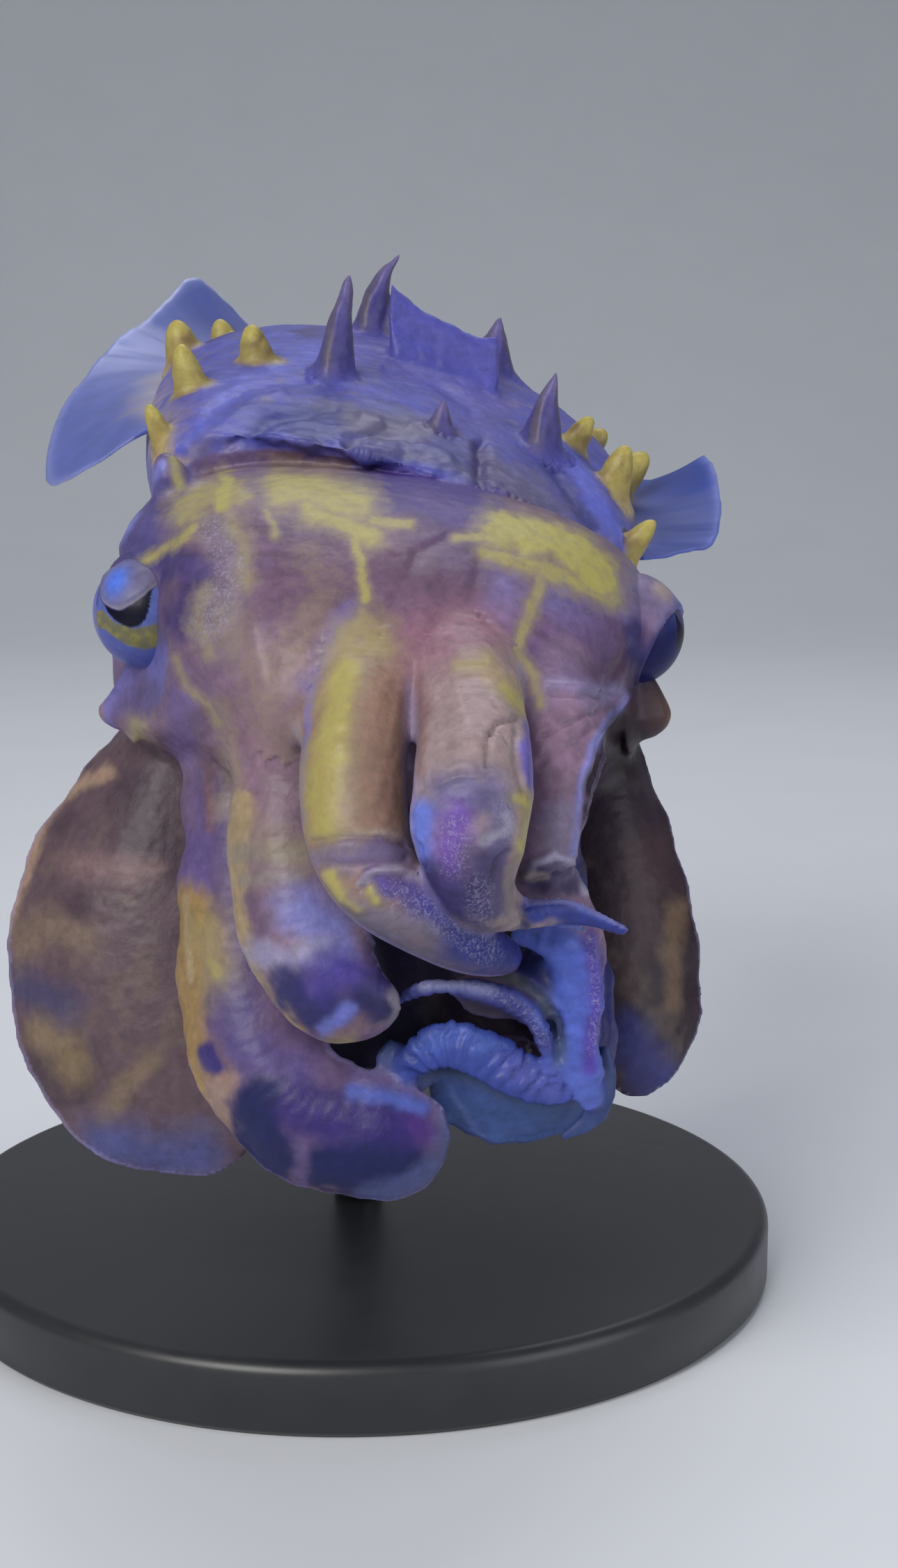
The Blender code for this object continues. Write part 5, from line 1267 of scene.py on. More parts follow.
# Creases and ridges in the front: pieces, height in millimetres, half width in pixels, and their line.
FOLDS = {
    "arm 1 left crease": (LEFT_1, -0.34, 4, ((745, 1032), (716, 1038), (702, 1056), (698, 1098))),
    "arm 1 left crease fork": (LEFT_1, -0.22, 4, ((704, 1048), (726, 1052), (734, 1070))),
    "arm 1 left side": (LEFT_1, 0.25, 11, ((762, 1035), (758, 1085), (768, 1140))),
    "arm 1 left side groove": (LEFT_1, -0.25, 5, ((744, 1040), (742, 1100), (752, 1135))),
    "arm 1 left elbow": (LEFT_1, -0.3, 7, ((596, 1130), (640, 1118), (700, 1112))),
    "arm 1 left knob": (LEFT_1, 0.4, 15, ((768, 1150), (772, 1190), (756, 1225))),
    "arm 1 left knob groove": (LEFT_1, -0.35, 6, ((735, 1225), (715, 1240), (708, 1270))),
    "arm 1 left notch": (LEFT_1, -0.3, 5, ((600, 1215), (612, 1240), (604, 1262))),
    "arm 1 left lobes": (LEFT_1, 0.28, 9, ((598, 1160), (590, 1186), (600, 1200))),
    "arm 1 left lobes low": (LEFT_1, 0.25, 8, ((612, 1226), (616, 1250))),
    "arm 1 left curl": (LEFT_1, 0.3, 8, ((672, 1308), (706, 1328), (742, 1322))),
    "arm 1 left tail root": (LEFT_1, -0.55, 6, ((756, 1262), (758, 1290), (750, 1330))),
    "arm 1 right crease": (RIGHT_1, -0.35, 5, ((446, 1210), (500, 1200), (560, 1204), (592, 1218))),
    "arm 1 right crease low": (RIGHT_1, -0.2, 5, ((462, 1240), (520, 1244), (585, 1236))),
    "arm 1 right bump": (RIGHT_1, 0.32, 10, ((470, 1258), (486, 1278))),
    "arm 1 right bump low": (RIGHT_1, 0.36, 11, ((500, 1290), (516, 1300))),
    "arm 1 right bump high": (RIGHT_1, 0.32, 9, ((532, 1276), (542, 1290))),
    "arm 1 right arc groove": (RIGHT_1, -0.3, 4, ((518, 1276), (545, 1260), (585, 1262))),
    "arm 1 right arc": (RIGHT_1, 0.22, 4, ((516, 1266), (540, 1250), (572, 1246), (606, 1260))),
    "arm 2 left fan high": (FACE, -0.28, 5, ((795, 998), (840, 998), (890, 1004))),
    "arm 2 left fan ridge": (FACE, 0.2, 5, ((790, 986), (840, 988), (880, 990))),
    "arm 2 left fan": (FACE, -0.25, 5, ((782, 1060), (830, 1035), (880, 1008))),
    "arm 2 left fan low": (LEFT_2, -0.22, 5, ((778, 1098), (815, 1075), (850, 1050))),
    "web edge": (FACE, 0.34, 6,
                 ((902, 1000), (866, 1046), (846, 1084), (834, 1130), (826, 1180), (822, 1225))),
    "past the web": (LEFT_2, -0.8, 22, ((925, 1040), (886, 1080), (868, 1130), (862, 1180), (862, 1220))),
    "arm 2 left arch": (LEFT_2, 0.3, 6, ((756, 1262), (766, 1240), (795, 1228), (825, 1240), (838, 1280))),
    "arm 2 left hollow": (LEFT_2, -0.6, 18, ((778, 1270), (812, 1266))),
    "arm 2 left bar": (LEFT_2, 0.35, 6, ((752, 1258), (784, 1258))),
    "lip groove": (LIP, -0.4, 8, ((700, 1396), (745, 1408), (782, 1436), (800, 1474), (806, 1520))),
    "lip green ridge": (LIP, 0.18, 5, ((722, 1392), (766, 1408), (800, 1446))),
    "violet ridge": (LIP, 0.3, 8, ((846, 1346), (858, 1400), (858, 1450), (850, 1500), (856, 1540))),
    "violet groove": (LIP, -0.25, 5, ((866, 1350), (872, 1400), (872, 1450), (862, 1510))),
    "hem": (LEFT_3, -0.5, 30, ((640, 1590), (700, 1620), (780, 1625), (830, 1600))),
    "collar gap": (MANTLE, -0.6, 9, ((692, 640), (688, 675), (694, 708))),
    "collar roll": (MANTLE, 0.5, 12, ((520, 655), (580, 645), (640, 665))),
    "collar roll right": (MANTLE, 0.2, 12, ((700, 700), (745, 712), (770, 735))),
    "collar furrow": (MANTLE, -0.4, 8, ((500, 636), (545, 622), (590, 636))),
    "collar furrow left": (MANTLE, -0.35, 8, ((330, 640), (400, 600), (480, 585))),
    "shoulder roll": (MANTLE, 0.35, 12, ((290, 640), (330, 600), (400, 565))),
    "shoulder furrow": (MANTLE, -0.3, 8, ((300, 590), (360, 555), (440, 540))),
    "collar lump": (MANTLE, 0.45, 9, ((520, 600), (540, 606))),
    "collar lump right": (MANTLE, 0.4, 10, ((590, 612), (640, 618))),
    "right band": (MANTLE, 0.35, 12, ((800, 632), (850, 700), (890, 770))),
    "right band furrow": (MANTLE, -0.4, 8, ((770, 640), (815, 700), (855, 762))),
    "middle furrow": (MANTLE, -0.3, 9, ((560, 530), (620, 545), (680, 585))),
    "face furrow": (HEAD, -0.16, 9, ((640, 770), (600, 800), (560, 870), (545, 930))),
    "face swell": (HEAD, 0.25, 24, ((570, 790), (610, 840), (600, 900))),
    "cheek furrow": (HEAD, -0.3, 8, ((905, 930), (880, 975), (860, 1000))),
    "right furrow": (HEAD, -0.15, 9, ((690, 810), (680, 860), (700, 920))),
    "brow ridge": (HEAD, 0.3, 13, ((240, 690), (205, 745), (180, 785))),
    "cheek line": (HEAD, -0.2, 8, ((270, 900), (290, 970), (300, 1060))),
    "cheek swell": (HEAD, 0.25, 22, ((370, 900), (385, 1000), (390, 1100))),
    "arm line": (HEAD, -0.2, 8, ((462, 920), (444, 1000), (434, 1090))),
}

# Where fine pale flecks show: pieces, half width and line.
FLECKED = {
    "arm 1 right": (RIGHT_1, 24, ((566, 1282), (620, 1306), (665, 1340), (700, 1366))),
    "arm 1 left": (LEFT_1, 24, ((655, 1190), (650, 1240))),
    # The pale flecks over arm 1 left's knob are part of its painted highlight.
    "arm 1 left pale highlight": (LEFT_1, 20, ((726, 1166), (738, 1196))),
    "arm 1 left low": (LEFT_1, 22, ((688, 1276), (690, 1310))),
    "eye speckle": (HEAD, 26, ((306, 760), (332, 815), (318, 860), (296, 900))),
    "violet ridge": (LIP, 9, ((848, 1350), (856, 1400), (856, 1460), (850, 1510))),
    "lip bumps": (("lip_inner",), 9, ((610, 1414), (650, 1412), (700, 1420), (760, 1456), (785, 1500))),
}


def stroke_distance(pixels, line):
    """Distance in pixels from each point to a line of pixels."""
    best = np.full(len(pixels), 1e9)
    line = np.array(line, float)
    for a, b in zip(line, line[1:]):
        run = b - a
        t = np.clip(((pixels - a) @ run) / (run @ run), 0, 1)
        best = np.minimum(best, np.linalg.norm(pixels - a - t[:, None] * run, axis=1))
    return best


def near_line(skin, names, line, shift):
    """Which points belong to the named pieces, and how far these lie in pixels from a line, once shifted."""
    mine = skin.of(*names)
    return mine, stroke_distance(skin.pixels[mine] + shift[mine], line)


def facing(skin):
    """How fully each point looks to the front, from 0 to 1."""
    return smooth((0.15 - skin.normals[:, 1]) / 0.3)


# How high the wrinkles across each arm stand, in millimetres.
WRINKLES = {
    "arm_1_right": 0.028,
    "arm_1_left": 0.055,
    "arm_2_right": 0.034,
    "arm_2_left": 0.034,
    "arm_3_right": 0.026,
    "arm_3_left": 0.04,
    "arm_4_right": 0.020,
    "arm_4_left": 0.020,
}
WRINKLE_PITCH = 1.15
# How high the lumps and grain of the skin stand, in millimetres, and those of its rougher places.
LUMPS = 0.085
GRAIN = 0.05
MANTLE_FOLDS = 0.20
COLLAR_LUMPS = 0.5
COLLAR_GRAIN = 0.14
HORN_RIDGES = 0.1
# Where in the photograph the fine streaks of the face fan out from.
STREAK_CENTRE = (600, 800)
STREAKS_START = 90
STREAKS_FADE = 110
STREAKS_FOOT = 1180
STREAK_DEPTH = 0.28
# The pixel column between the eyes, and the row from which the right lid is bluer.
BETWEEN_EYES = 600
LID_BLUE_TOP = 890
LID_BLUE_FADE = 40


def run_along(skin):
    """Millimetres travelled along its own arm or lip, for each point."""
    run = np.zeros(len(skin.points))
    for name in ARM_NAMES:
        mine = skin.of(name)
        run[mine] = skin.along[mine] * arm_line(ARMS[name], 2.0)[5]
    for name in LIPS:
        mine = skin.of(name)
        run[mine] = skin.along[mine] * lip_line(name)[1]
    return run


def relief(skin):
    """Moves the skin along its normals: soft lumps, wrinkles along the arms and the folds of the front."""
    points = skin.points
    height = LUMPS * noise(points, 3.2, 1, 2) + GRAIN * noise(points, 1.0, 2, 2)
    run = run_along(skin)
    warped = run + 0.9 * noise(points, 2.5, 3, 2)
    rings = np.sin(2 * np.pi * warped / WRINKLE_PITCH) * (0.5 + 0.5 * noise(points, 2.2, 4, 2))
    outer = np.where(skin.side > 0, 1.0, 0.4) * (1 - np.abs(skin.across) ** 3) * smooth(skin.along * 3)
    for name, lift in WRINKLES.items():
        height += np.where(skin.of(name), lift * rings * outer, 0.0)
    for name, (lift, pitch) in LIP_FINGERS.items():
        mine = skin.of(name)
        wave = np.sin(2 * np.pi * (run[mine] + 0.9 * noise(points[mine], 1.6, 9, 2)) / pitch)
        strong = 0.75 + 0.6 * noise(points[mine], 1.8, 22)
        height[mine] += lift * wave * strong * (1 - 0.5 * np.abs(skin.across[mine]))
    body = skin.of("mantle")
    u, v, w = skin.uvw.T
    folded = noise(np.column_stack([u * 0.5, v, w]), 3.0, 5, 3)
    height += np.where(body, MANTLE_FOLDS * folded * smooth((w + 6) / 8), 0.0)
    rim = smooth(1 - (v + 6.5) / 7) * smooth((w - 0.5) / 3) * smooth(0.2 + skin.next_piece / 1.5)
    frayed = COLLAR_LUMPS * noise(points, 2.0, 6, 2) + COLLAR_GRAIN * noise(points, 0.8, 10, 2)
    height += np.where(body, rim * frayed, 0.0)
    horns = skin.of("back_papilla")
    height += np.where(horns, HORN_RIDGES * noise(points * (1, 1, 0.35), 0.8, 7), 0.0)
    front = facing(skin)
    wobble = 4 * noise(points, 1.5, 8)[:, None]
    for names, lift, width, line in FOLDS.values():
        mine, near = near_line(skin, names, line, wobble)
        height[mine] += lift * np.exp(-((near / width) ** 2)) * front[mine]
    thin = skin.of("arm_") & (np.abs(skin.across) > 0.9)
    height = np.where(thin, 0.4 * height, height) * smooth((skin.past_lid - 4) / 10)
    skin.points = points + skin.normals * height[:, None]
    skin.refresh()


def mixed(colour, other, amount):
    amount = np.clip(np.atleast_1d(amount), 0, 1)[:, None]
    return colour * (1 - amount) + np.asarray(other) * amount


def tinted(ground, where, other, amount):
    """The ground colours, with some points mixed towards another colour."""
    amount = np.broadcast_to(np.asarray(amount, float), (len(ground),))
    ground[where] = mixed(ground[where], other, amount[where])
    return ground


def streaks(skin):
    """Fine light and dark lines that fan out over the face from between the eyes."""
    offset = skin.pixels - np.array(STREAK_CENTRE)
    reach = np.linalg.norm(offset, axis=1)
    angle = np.degrees(np.arctan2(offset[:, 1], offset[:, 0]))
    lines = noise(np.column_stack([angle / 3.2, reach / STREAKS_FADE, np.zeros(len(reach))]), 1.0, 21, 3)
    return lines * smooth((reach - STREAKS_START) / STREAKS_FADE)


def body_colours(skin, ground):
    """Colours that don't depend on the photograph's view: the back, flanks, belly, horns and knobs."""
    points = skin.points
    broad, patchy, fine = noise(points, 6.0, 11, 3), noise(points, 2.2, 12, 3), noise(points, 0.9, 13, 2)
    u, v, w = skin.uvw.T
    head = skin.of(*HEAD)
    tinted(ground, head, PINK, smooth(broad * 1.2))
    tinted(ground, head, PURPLE, 0.6 * smooth(-broad * 1.4))
    tinted(ground, head, CREAM, 0.35 * smooth((patchy - 0.3) * 3) * (points[:, 1] > 4))
    body = skin.of("mantle")
    tinted(ground, body, seen(84, 78, 148), smooth(patchy))
    tinted(ground, body, seen(62, 68, 142), 0.8 * smooth(-broad * 1.6))
    tinted(ground, body, seen(100, 90, 140), 0.4 * smooth((fine - 0.1) * 3))
    flank = np.exp(-(((w + 0.5) / 2.6) ** 2)) * smooth((np.abs(u) - 10) / 6)
    tinted(ground, body, CREAM, 0.85 * flank * smooth(0.7 + fine))
    tinted(ground, body, seen(124, 116, 156), 0.85 * smooth((-w - 2.0) / 5))
    spots = smooth((patchy - 0.28) * 5) * smooth((w - 1) / 3)
    tinted(ground, body, seen(132, 118, 128), 0.35 * spots)
    blotches = smooth((noise(points, 4.5, 18, 2) - 0.25) * 4) * smooth((w - 1) / 3) * smooth((v - 18) / 8)
    tinted(ground, body, seen(66, 52, 92), 0.6 * blotches)
    horns = skin.of("back_papilla")
    turn = np.arctan2(skin.side, skin.across)
    tinted(ground, horns, seen(84, 66, 92), 0.75 * smooth(0.2 - points[:, 1] / 60 + patchy))
    tinted(ground, horns, seen(98, 90, 90), 0.7 * smooth(1.5 * np.sin(3 * turn + 4 * skin.along) - 0.3))
    tinted(ground, horns, seen(120, 110, 154), 0.5 * smooth((skin.along - 0.55) * 2.5))
    tinted(ground, horns, VIOLET, 0.8 * (1 - smooth(skin.along * 3)))
    knobs = skin.of("side_papilla")
    tinted(ground, knobs, YELLOW, smooth(fine + 0.5))
    tinted(ground, knobs, BRIGHT_YELLOW, 0.7 * smooth((skin.along - 0.5) * 3))
    pits = smooth((-fine - 0.2) * 3) * (1 - smooth((skin.along - 0.7) * 5))
    tinted(ground, knobs, seen(96, 78, 66), 0.6 * pits)
    tinted(ground, knobs, CREAM, 0.7 * (1 - smooth(skin.along * 4)))
    for name in ("arm_4_right", "arm_4_left"):
        leaf = skin.of(name)
        tinted(ground, leaf, seen(112, 96, 86), 0.4 * smooth((patchy - 0.1) * 2.5))
        tinted(ground, leaf, DARK_LEAF, 0.55 * smooth((-broad - 0.1) * 2.5))
    for name in ("arm_2_right", "arm_3_right", "arm_2_left"):
        arm = skin.of(name)
        tinted(ground, arm, PINK, 0.5 * smooth(broad * 1.5))
        tinted(ground, arm, PURPLE, 0.4 * smooth(-broad * 1.5))
    inner = skin.of("arm_") & (skin.side < 0)
    tinted(ground, inner & ~skin.of("arm_web"), ORAL, 0.8)
    # Painted shade: the web is mottled dark as the shaded hollow within the arms.
    tinted(ground, skin.of("arm_web"), seen(40, 36, 66), smooth(0.5 + patchy))
    return ground


def colours(skin):
    """The skin's ground colour with painted shade and highlights, how much yellow pigment it holds, how
    flecked it is.
    """
    points = skin.points
    ground = body_colours(skin, np.array([GROUNDS[name] for name in PIECES])[skin.piece])
    front = facing(skin)
    lid = (skin.past_lid < 60) & (skin.pixels[:, 0] < BETWEEN_EYES)
    low = smooth((skin.pixels[:, 1] - LID_BLUE_TOP) / LID_BLUE_FADE)
    tinted(ground, lid, seen(88, 90, 156), 0.8 * low * (1 - smooth((skin.past_lid - 5) / 6)))
    tinted(ground, lid, seen(56, 50, 98), 0.75 * (1 - smooth(np.abs(skin.past_lid - 8) / 7)))
    # Painted shade: the lids of the eye at the viewer's right are darkened blue.
    lid = (skin.past_lid < 60) & (skin.pixels[:, 0] > BETWEEN_EYES)
    tinted(ground, lid, seen(50, 48, 112), 0.9 * (1 - smooth((skin.past_lid - 6) / 8)))
    wander = np.column_stack([noise(points, 2.6, seed, 2) for seed in (14, 15)])
    wander += 0.7 * np.column_stack([noise(points, 0.9, seed, 3) for seed in (19, 20)])
    for names, colour, width, strength, soft, line in WASHES.values():
        mine, near = near_line(skin, names, line, wander * min(14.0, 3 + 0.4 * width))
        amount = smooth((width * (1 + soft) - near) / (2 * soft * width)) * strength * front[mine]
        ground[mine] = mixed(ground[mine], colour, amount)

    still = np.zeros((len(points), 1))
    # Painted shade in the hollows.
    for names, colour, width, line in HOLLOW_SHADE.values():
        mine, near = near_line(skin, names, line, still)
        ground[mine] = mixed(ground[mine], colour, smooth(2 - near / width))
    arms = skin.of("arm_") & ~skin.of("arm_web")
    rim = smooth((np.abs(skin.across) - 0.93) / 0.06)
    tinted(ground, arms, PALE_LILAC, rim * np.where(skin.of("arm_3_left", "arm_2_left"), 0.1, 0.4))
    ground = averaged(ground, skin.edges, rounds_for(0.45), 0.5 * smooth(1.3 - skin.next_piece / JOIN_REACH))
    lined = streaks(skin) * front * skin.of(*FACE) * (skin.pixels[:, 1] < STREAKS_FOOT)
    ground *= 1 + STREAK_DEPTH * lined[:, None]
    ground *= 1 + 0.10 * noise(points, 1.1, 16, 2)[:, None] + 0.09 * noise(points, 0.5, 17)[:, None]

    pigment = np.zeros(len(points))
    for names, width, dense, line in PIGMENT.values():
        mine, near = near_line(skin, names, line, wander * min(11.0, 3 + 0.4 * width))
        reach = np.clip((width * 2.2 - near) / (1.8 * width), 0, 1) * front[mine]
        pigment[mine] = np.maximum(pigment[mine], dense * reach)
    fleck = np.zeros(len(points))
    for names, width, line in FLECKED.values():
        mine, near = near_line(skin, names, line, still)
        fleck[mine] = np.maximum(fleck[mine], smooth(1.6 - 1.2 * near / width) * front[mine])
    return np.clip(ground, DARKEST, 1.0), pigment, fleck


def paint(red, green, blue):
    """A colour as it looks on screen, for a shader's socket."""
    return (*seen(red, green, blue), 1.0)


class Surface:
    """A material in the making, with its shader and the place of each point on the object."""

    def __init__(self, name):
        self.made = bpy.data.materials.new(name)
        self.made.use_nodes = True
        self.nodes = self.made.node_tree.nodes
        self.shader = self.nodes["Principled BSDF"]
        self.place = self.nodes.new("ShaderNodeTexCoord").outputs["Object"]

    def feed(self, socket, value):
        """Links a socket to a node's output, or sets the socket itself to a constant."""
        if isinstance(value, bpy.types.NodeSocket):
            self.made.node_tree.links.new(value, socket)
        else:
            socket.default_value = value

    def node(self, kind, output=0, **settings):
        """The output of a new node, whose settings and inputs are given by name."""
        made = self.nodes.new(kind)
        for key, value in settings.items():
            if hasattr(made, key):
                setattr(made, key, value)
            else:
                self.feed(made.inputs[key], value)
        return made.outputs[output]

    def attribute(self, name, output="Fac"):
        return self.node("ShaderNodeAttribute", output, attribute_name=name)

    def noise(self, scale, detail, **settings):
        return self.node("ShaderNodeTexNoise", Vector=self.place, Scale=scale, Detail=detail, **settings)

    def ranged(self, source, low, high, to_low=0.0, to_high=1.0):
        """A value read from one range to another."""
        made = self.nodes.new("ShaderNodeMapRange")
        keys = ("Value", "From Min", "From Max", "To Min", "To Max")
        for key, value in zip(keys, (source, low, high, to_low, to_high)):
            self.feed(made.inputs[key], value)
        return made.outputs[0]

    def joined(self, operation, first, second):
        made = self.nodes.new("ShaderNodeMath")
        made.operation = operation
        self.feed(made.inputs[0], first)
        self.feed(made.inputs[1], second)
        return made.outputs[0]

    def blended(self, factor, first, second, blend="MIX"):
        made = self.nodes.new("ShaderNodeMix")
        made.data_type = "RGBA"
        made.blend_type = blend
        for socket, value in (("Factor", factor), (6, first), (7, second)):
            self.feed(made.inputs[socket], value)
        return made.outputs[2]

    def bump(self, height, strength, distance):
        normal = self.node("ShaderNodeBump", Height=height, Strength=strength, Distance=distance)
        self.feed(self.shader.inputs["Normal"], normal)

    def finish(self, colour, values):
        """The material, once its shader has its colour and its other inputs."""
        for key, value in {"Base Color": colour, **values}.items():
            self.feed(self.shader.inputs[key], value)
        return self.made


def skin_material():
    """Moist skin: the ground colour, mottled yellow pigment, small dark cells, pale flecks and fine grain."""
    skin = Surface("cuttlefish_skin")
    ground = skin.attribute("ground", "Color")
    pigment = skin.attribute("pigment")
    fleck = skin.attribute("fleck")

    net = skin.noise(1500.0, 3.0, Distortion=0.8)
    tone = skin.blended(1.0, ground, skin.ranged(net, 0.3, 0.7, 0.88, 1.12), "MULTIPLY")
    cells = skin.node("ShaderNodeTexVoronoi", "Distance", feature="F1", Vector=skin.place, Scale=3000.0,
                      Randomness=1.0)
    scatter = skin.noise(700.0, 1.0)
    dots = skin.joined("MULTIPLY", skin.ranged(cells, 0.34, 0.14), skin.ranged(scatter, 0.5, 0.66, 0.0, 0.16))
    tone = skin.blended(dots, tone, paint(58, 38, 70))

    gold = skin.blended(skin.ranged(pigment, 0.55, 1.0), paint(144, 130, 104), paint(172, 164, 84))
    patchy = skin.noise(1100.0, 6.0, Roughness=0.68, Distortion=0.4)
    reach = skin.joined("ADD", pigment, skin.joined("MULTIPLY", patchy, 0.95))
    tone = skin.blended(skin.ranged(reach, 0.64, 1.46, 0.0, 0.92), tone, gold)

    worms = skin.noise(4300.0, 2.0, Distortion=1.2)
    amount = skin.joined("MULTIPLY", skin.ranged(worms, 0.48, 0.72, 0.0, 0.62), fleck)
    tone = skin.blended(amount, tone, paint(152, 148, 178))

    grain = skin.noise(1700.0, 5.0, Roughness=0.6)
    skin.bump(grain, 0.24, 0.00025)
    return skin.finish(tone, {
        "Roughness": skin.ranged(grain, 0.0, 1.0, 0.34, 0.58),
        "Subsurface Weight": 0.12,
        "Subsurface Radius": (1.0, 0.6, 0.8),
        "Subsurface Scale": 0.001,
        "Coat Weight": 0.07,
        "Coat Roughness": 0.22,
        "Specular IOR Level": 0.24,
    })


def finished(name, points, cells, made, attributes=()):
    """A smooth-shaded mesh in the world with its material and point attributes."""
    body = new_object(name, to_world(points), cells)
    body.data.materials.append(made)
    body.data.shade_smooth()
    for key, values in attributes:
        if values.ndim == 2:
            layer = body.data.attributes.new(key, "FLOAT_COLOR", "POINT")
            layer.data.foreach_set("color", np.column_stack([values, np.ones(len(values))]).ravel())
        else:
            layer = body.data.attributes.new(key, "FLOAT", "POINT")
            layer.data.foreach_set("value", values)
    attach(body, "root")
    return body


def build_skin():
    forms = [head_form(), mantle_form(), funnel_form(), web_form()] + papilla_forms()
    forms += [arm_form(name) for name in ARMS] + [lip_form(name) for name in LIPS]
    skin = Skin(forms)
    skin.open_lids()
    relief(skin)
    ground, pigment, fleck = colours(skin)
    body = finished("skin", skin.points, skin.cells.tolist(), skin_material(),
                    (("ground", ground), ("pigment", pigment), ("fleck", fleck)))
    arm_nodes = [f"{name}_{part}" for name in ARMS for part in ("base", "tip")]
    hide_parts("head", "mantle", "funnel", "arm_web", *arm_nodes)


def fin_material():
    """Thin skin that lets a little light through."""
    fin = Surface("fin_skin")
    cloud = fin.ranged(fin.noise(320.0, 2.0), 0.3, 0.7, 0.9, 1.1)
    tone = fin.blended(1.0, fin.attribute("ground", "Color"), cloud, "MULTIPLY")
    fin.bump(fin.noise(900.0, 3.0), 0.08, 0.0002)
    return fin.finish(tone, {
        "Roughness": 0.5,
        "Subsurface Weight": 0.5,
        "Subsurface Radius": (0.6, 0.7, 1.0),
        "Subsurface Scale": 0.002,
        "Transmission Weight": 0.12,
        "Specular IOR Level": 0.3,
    })


# Colours of each fin: at the root, over the web and along the rim.
FIN_COLOURS = {
    "fin_right": (seen(148, 140, 152), seen(84, 96, 166), seen(116, 124, 190)),
    "fin_left": (seen(100, 102, 160), seen(48, 66, 144), seen(82, 96, 172)),
}
FIN_COLUMNS = 30
FIN_STEP = 0.4
FIN_SUNK = 0.8
FIN_ROOT_THICK = 0.9
FIN_RIM_THICK = 0.22
FIN_WAVE = 0.16
FIN_RIPPLE = 0.05


def build_fin(name, rows, made):
    """A thin waved web, thicker at its root, which sinks a little into the side."""
    side = -1 if name == "fin_right" else 1
    lines, _ = curve_through([(v, 0, 0, reach, rise, 0) for v, reach, rise in rows], FIN_STEP)
    across, _, up = MANTLE_AXES
    columns = FIN_COLUMNS
    upper, lower, share = [], [], []
    for v, _, _, reach, rise, _ in lines:
        root = float(mantle_sizes(v)[0]) - FIN_SUNK
        for k in range(columns):
            t = k / (columns - 1)
            thick = FIN_ROOT_THICK * (1 - t) + FIN_RIM_THICK * t
            ripple = FIN_WAVE * t * math.sin(v * 1.1 + 2 * t) + FIN_RIPPLE * t * t * math.sin(v * 3.3)
            middle = on_mantle(side * (root + (reach + FIN_SUNK) * t), v, rise * t**1.5 + ripple)
            tilt = math.atan2(1.5 * rise * t**0.5, reach)
            face = up * math.cos(tilt) - across * side * math.sin(tilt)
            half = thick * (1 if k < columns - 1 else 0.5) / 2
            upper.append(middle + face * half)
            lower.append(middle - face * half)
            share.append(t)
    count = len(lines)
    points = np.array(upper + lower)
    under = count * columns
    faces = []
    for i in range(count - 1):
        for j in range(columns - 1):
            a = i * columns + j
            faces.append((a, a + 1, a + columns + 1, a + columns))
            faces.append((a + under, a + columns + under, a + columns + 1 + under, a + 1 + under))
    rim = list(range(columns)) + [i * columns + columns - 1 for i in range(1, count)]
    rim += [(count - 1) * columns + j for j in range(columns - 2, -1, -1)]
    rim += [i * columns for i in range(count - 2, 0, -1)]
    for a, b in zip(rim, rim[1:] + rim[:1]):
        faces.append((a, a + under, b + under, b))
    t = np.array(share + share)
    root_colour, web_colour, rim_colour = FIN_COLOURS[name]
    into_web = smooth(t * 2.4 + 0.25 * noise(points, 2.5, 31))
    blend = mixed(np.tile(root_colour, (len(points), 1)), web_colour, into_web)
    blend = mixed(blend, rim_colour, 0.9 * smooth((t - 0.9) * 12))
    body = finished(name + "_web", points, faces, made, (("ground", np.clip(blend, DARKEST, 1)),))
    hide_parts(name)


def sucker_material():
    sucker = Surface("suckers")
    tone = sucker.blended(sucker.noise(1800.0, 2.0), paint(116, 120, 172), paint(156, 154, 190))
    return sucker.finish(tone, {
        "Roughness": 0.4,
        "Subsurface Weight": 0.3,
        "Subsurface Radius": (1.0, 0.8, 1.0),
        "Subsurface Scale": 0.0008,
        "Coat Weight": 0.3,
    })


# Suckers: rows across the inner face, spacing along it and size as a share of the half width.
SUCKER_COLUMNS = (-0.56, -0.19, 0.19, 0.56)
SUCKER_PITCH = 0.36
SUCKER_SIZE = 0.15
SUCKER_LEAST = 0.14
SUCKER_GAP = 0.42
SUCKER_STEP = 0.2
SUCKERS_START = 0.24
SUCKERS_END = 0.93
SUCKER_PROFILE = ((-0.5, 0.62), (0.1, 0.7), (0.45, 1.0), (0.62, 0.95), (0.6, 0.72), (0.35, 0.5), (0.3, 0.2))
SUCKER_SIDES = 12


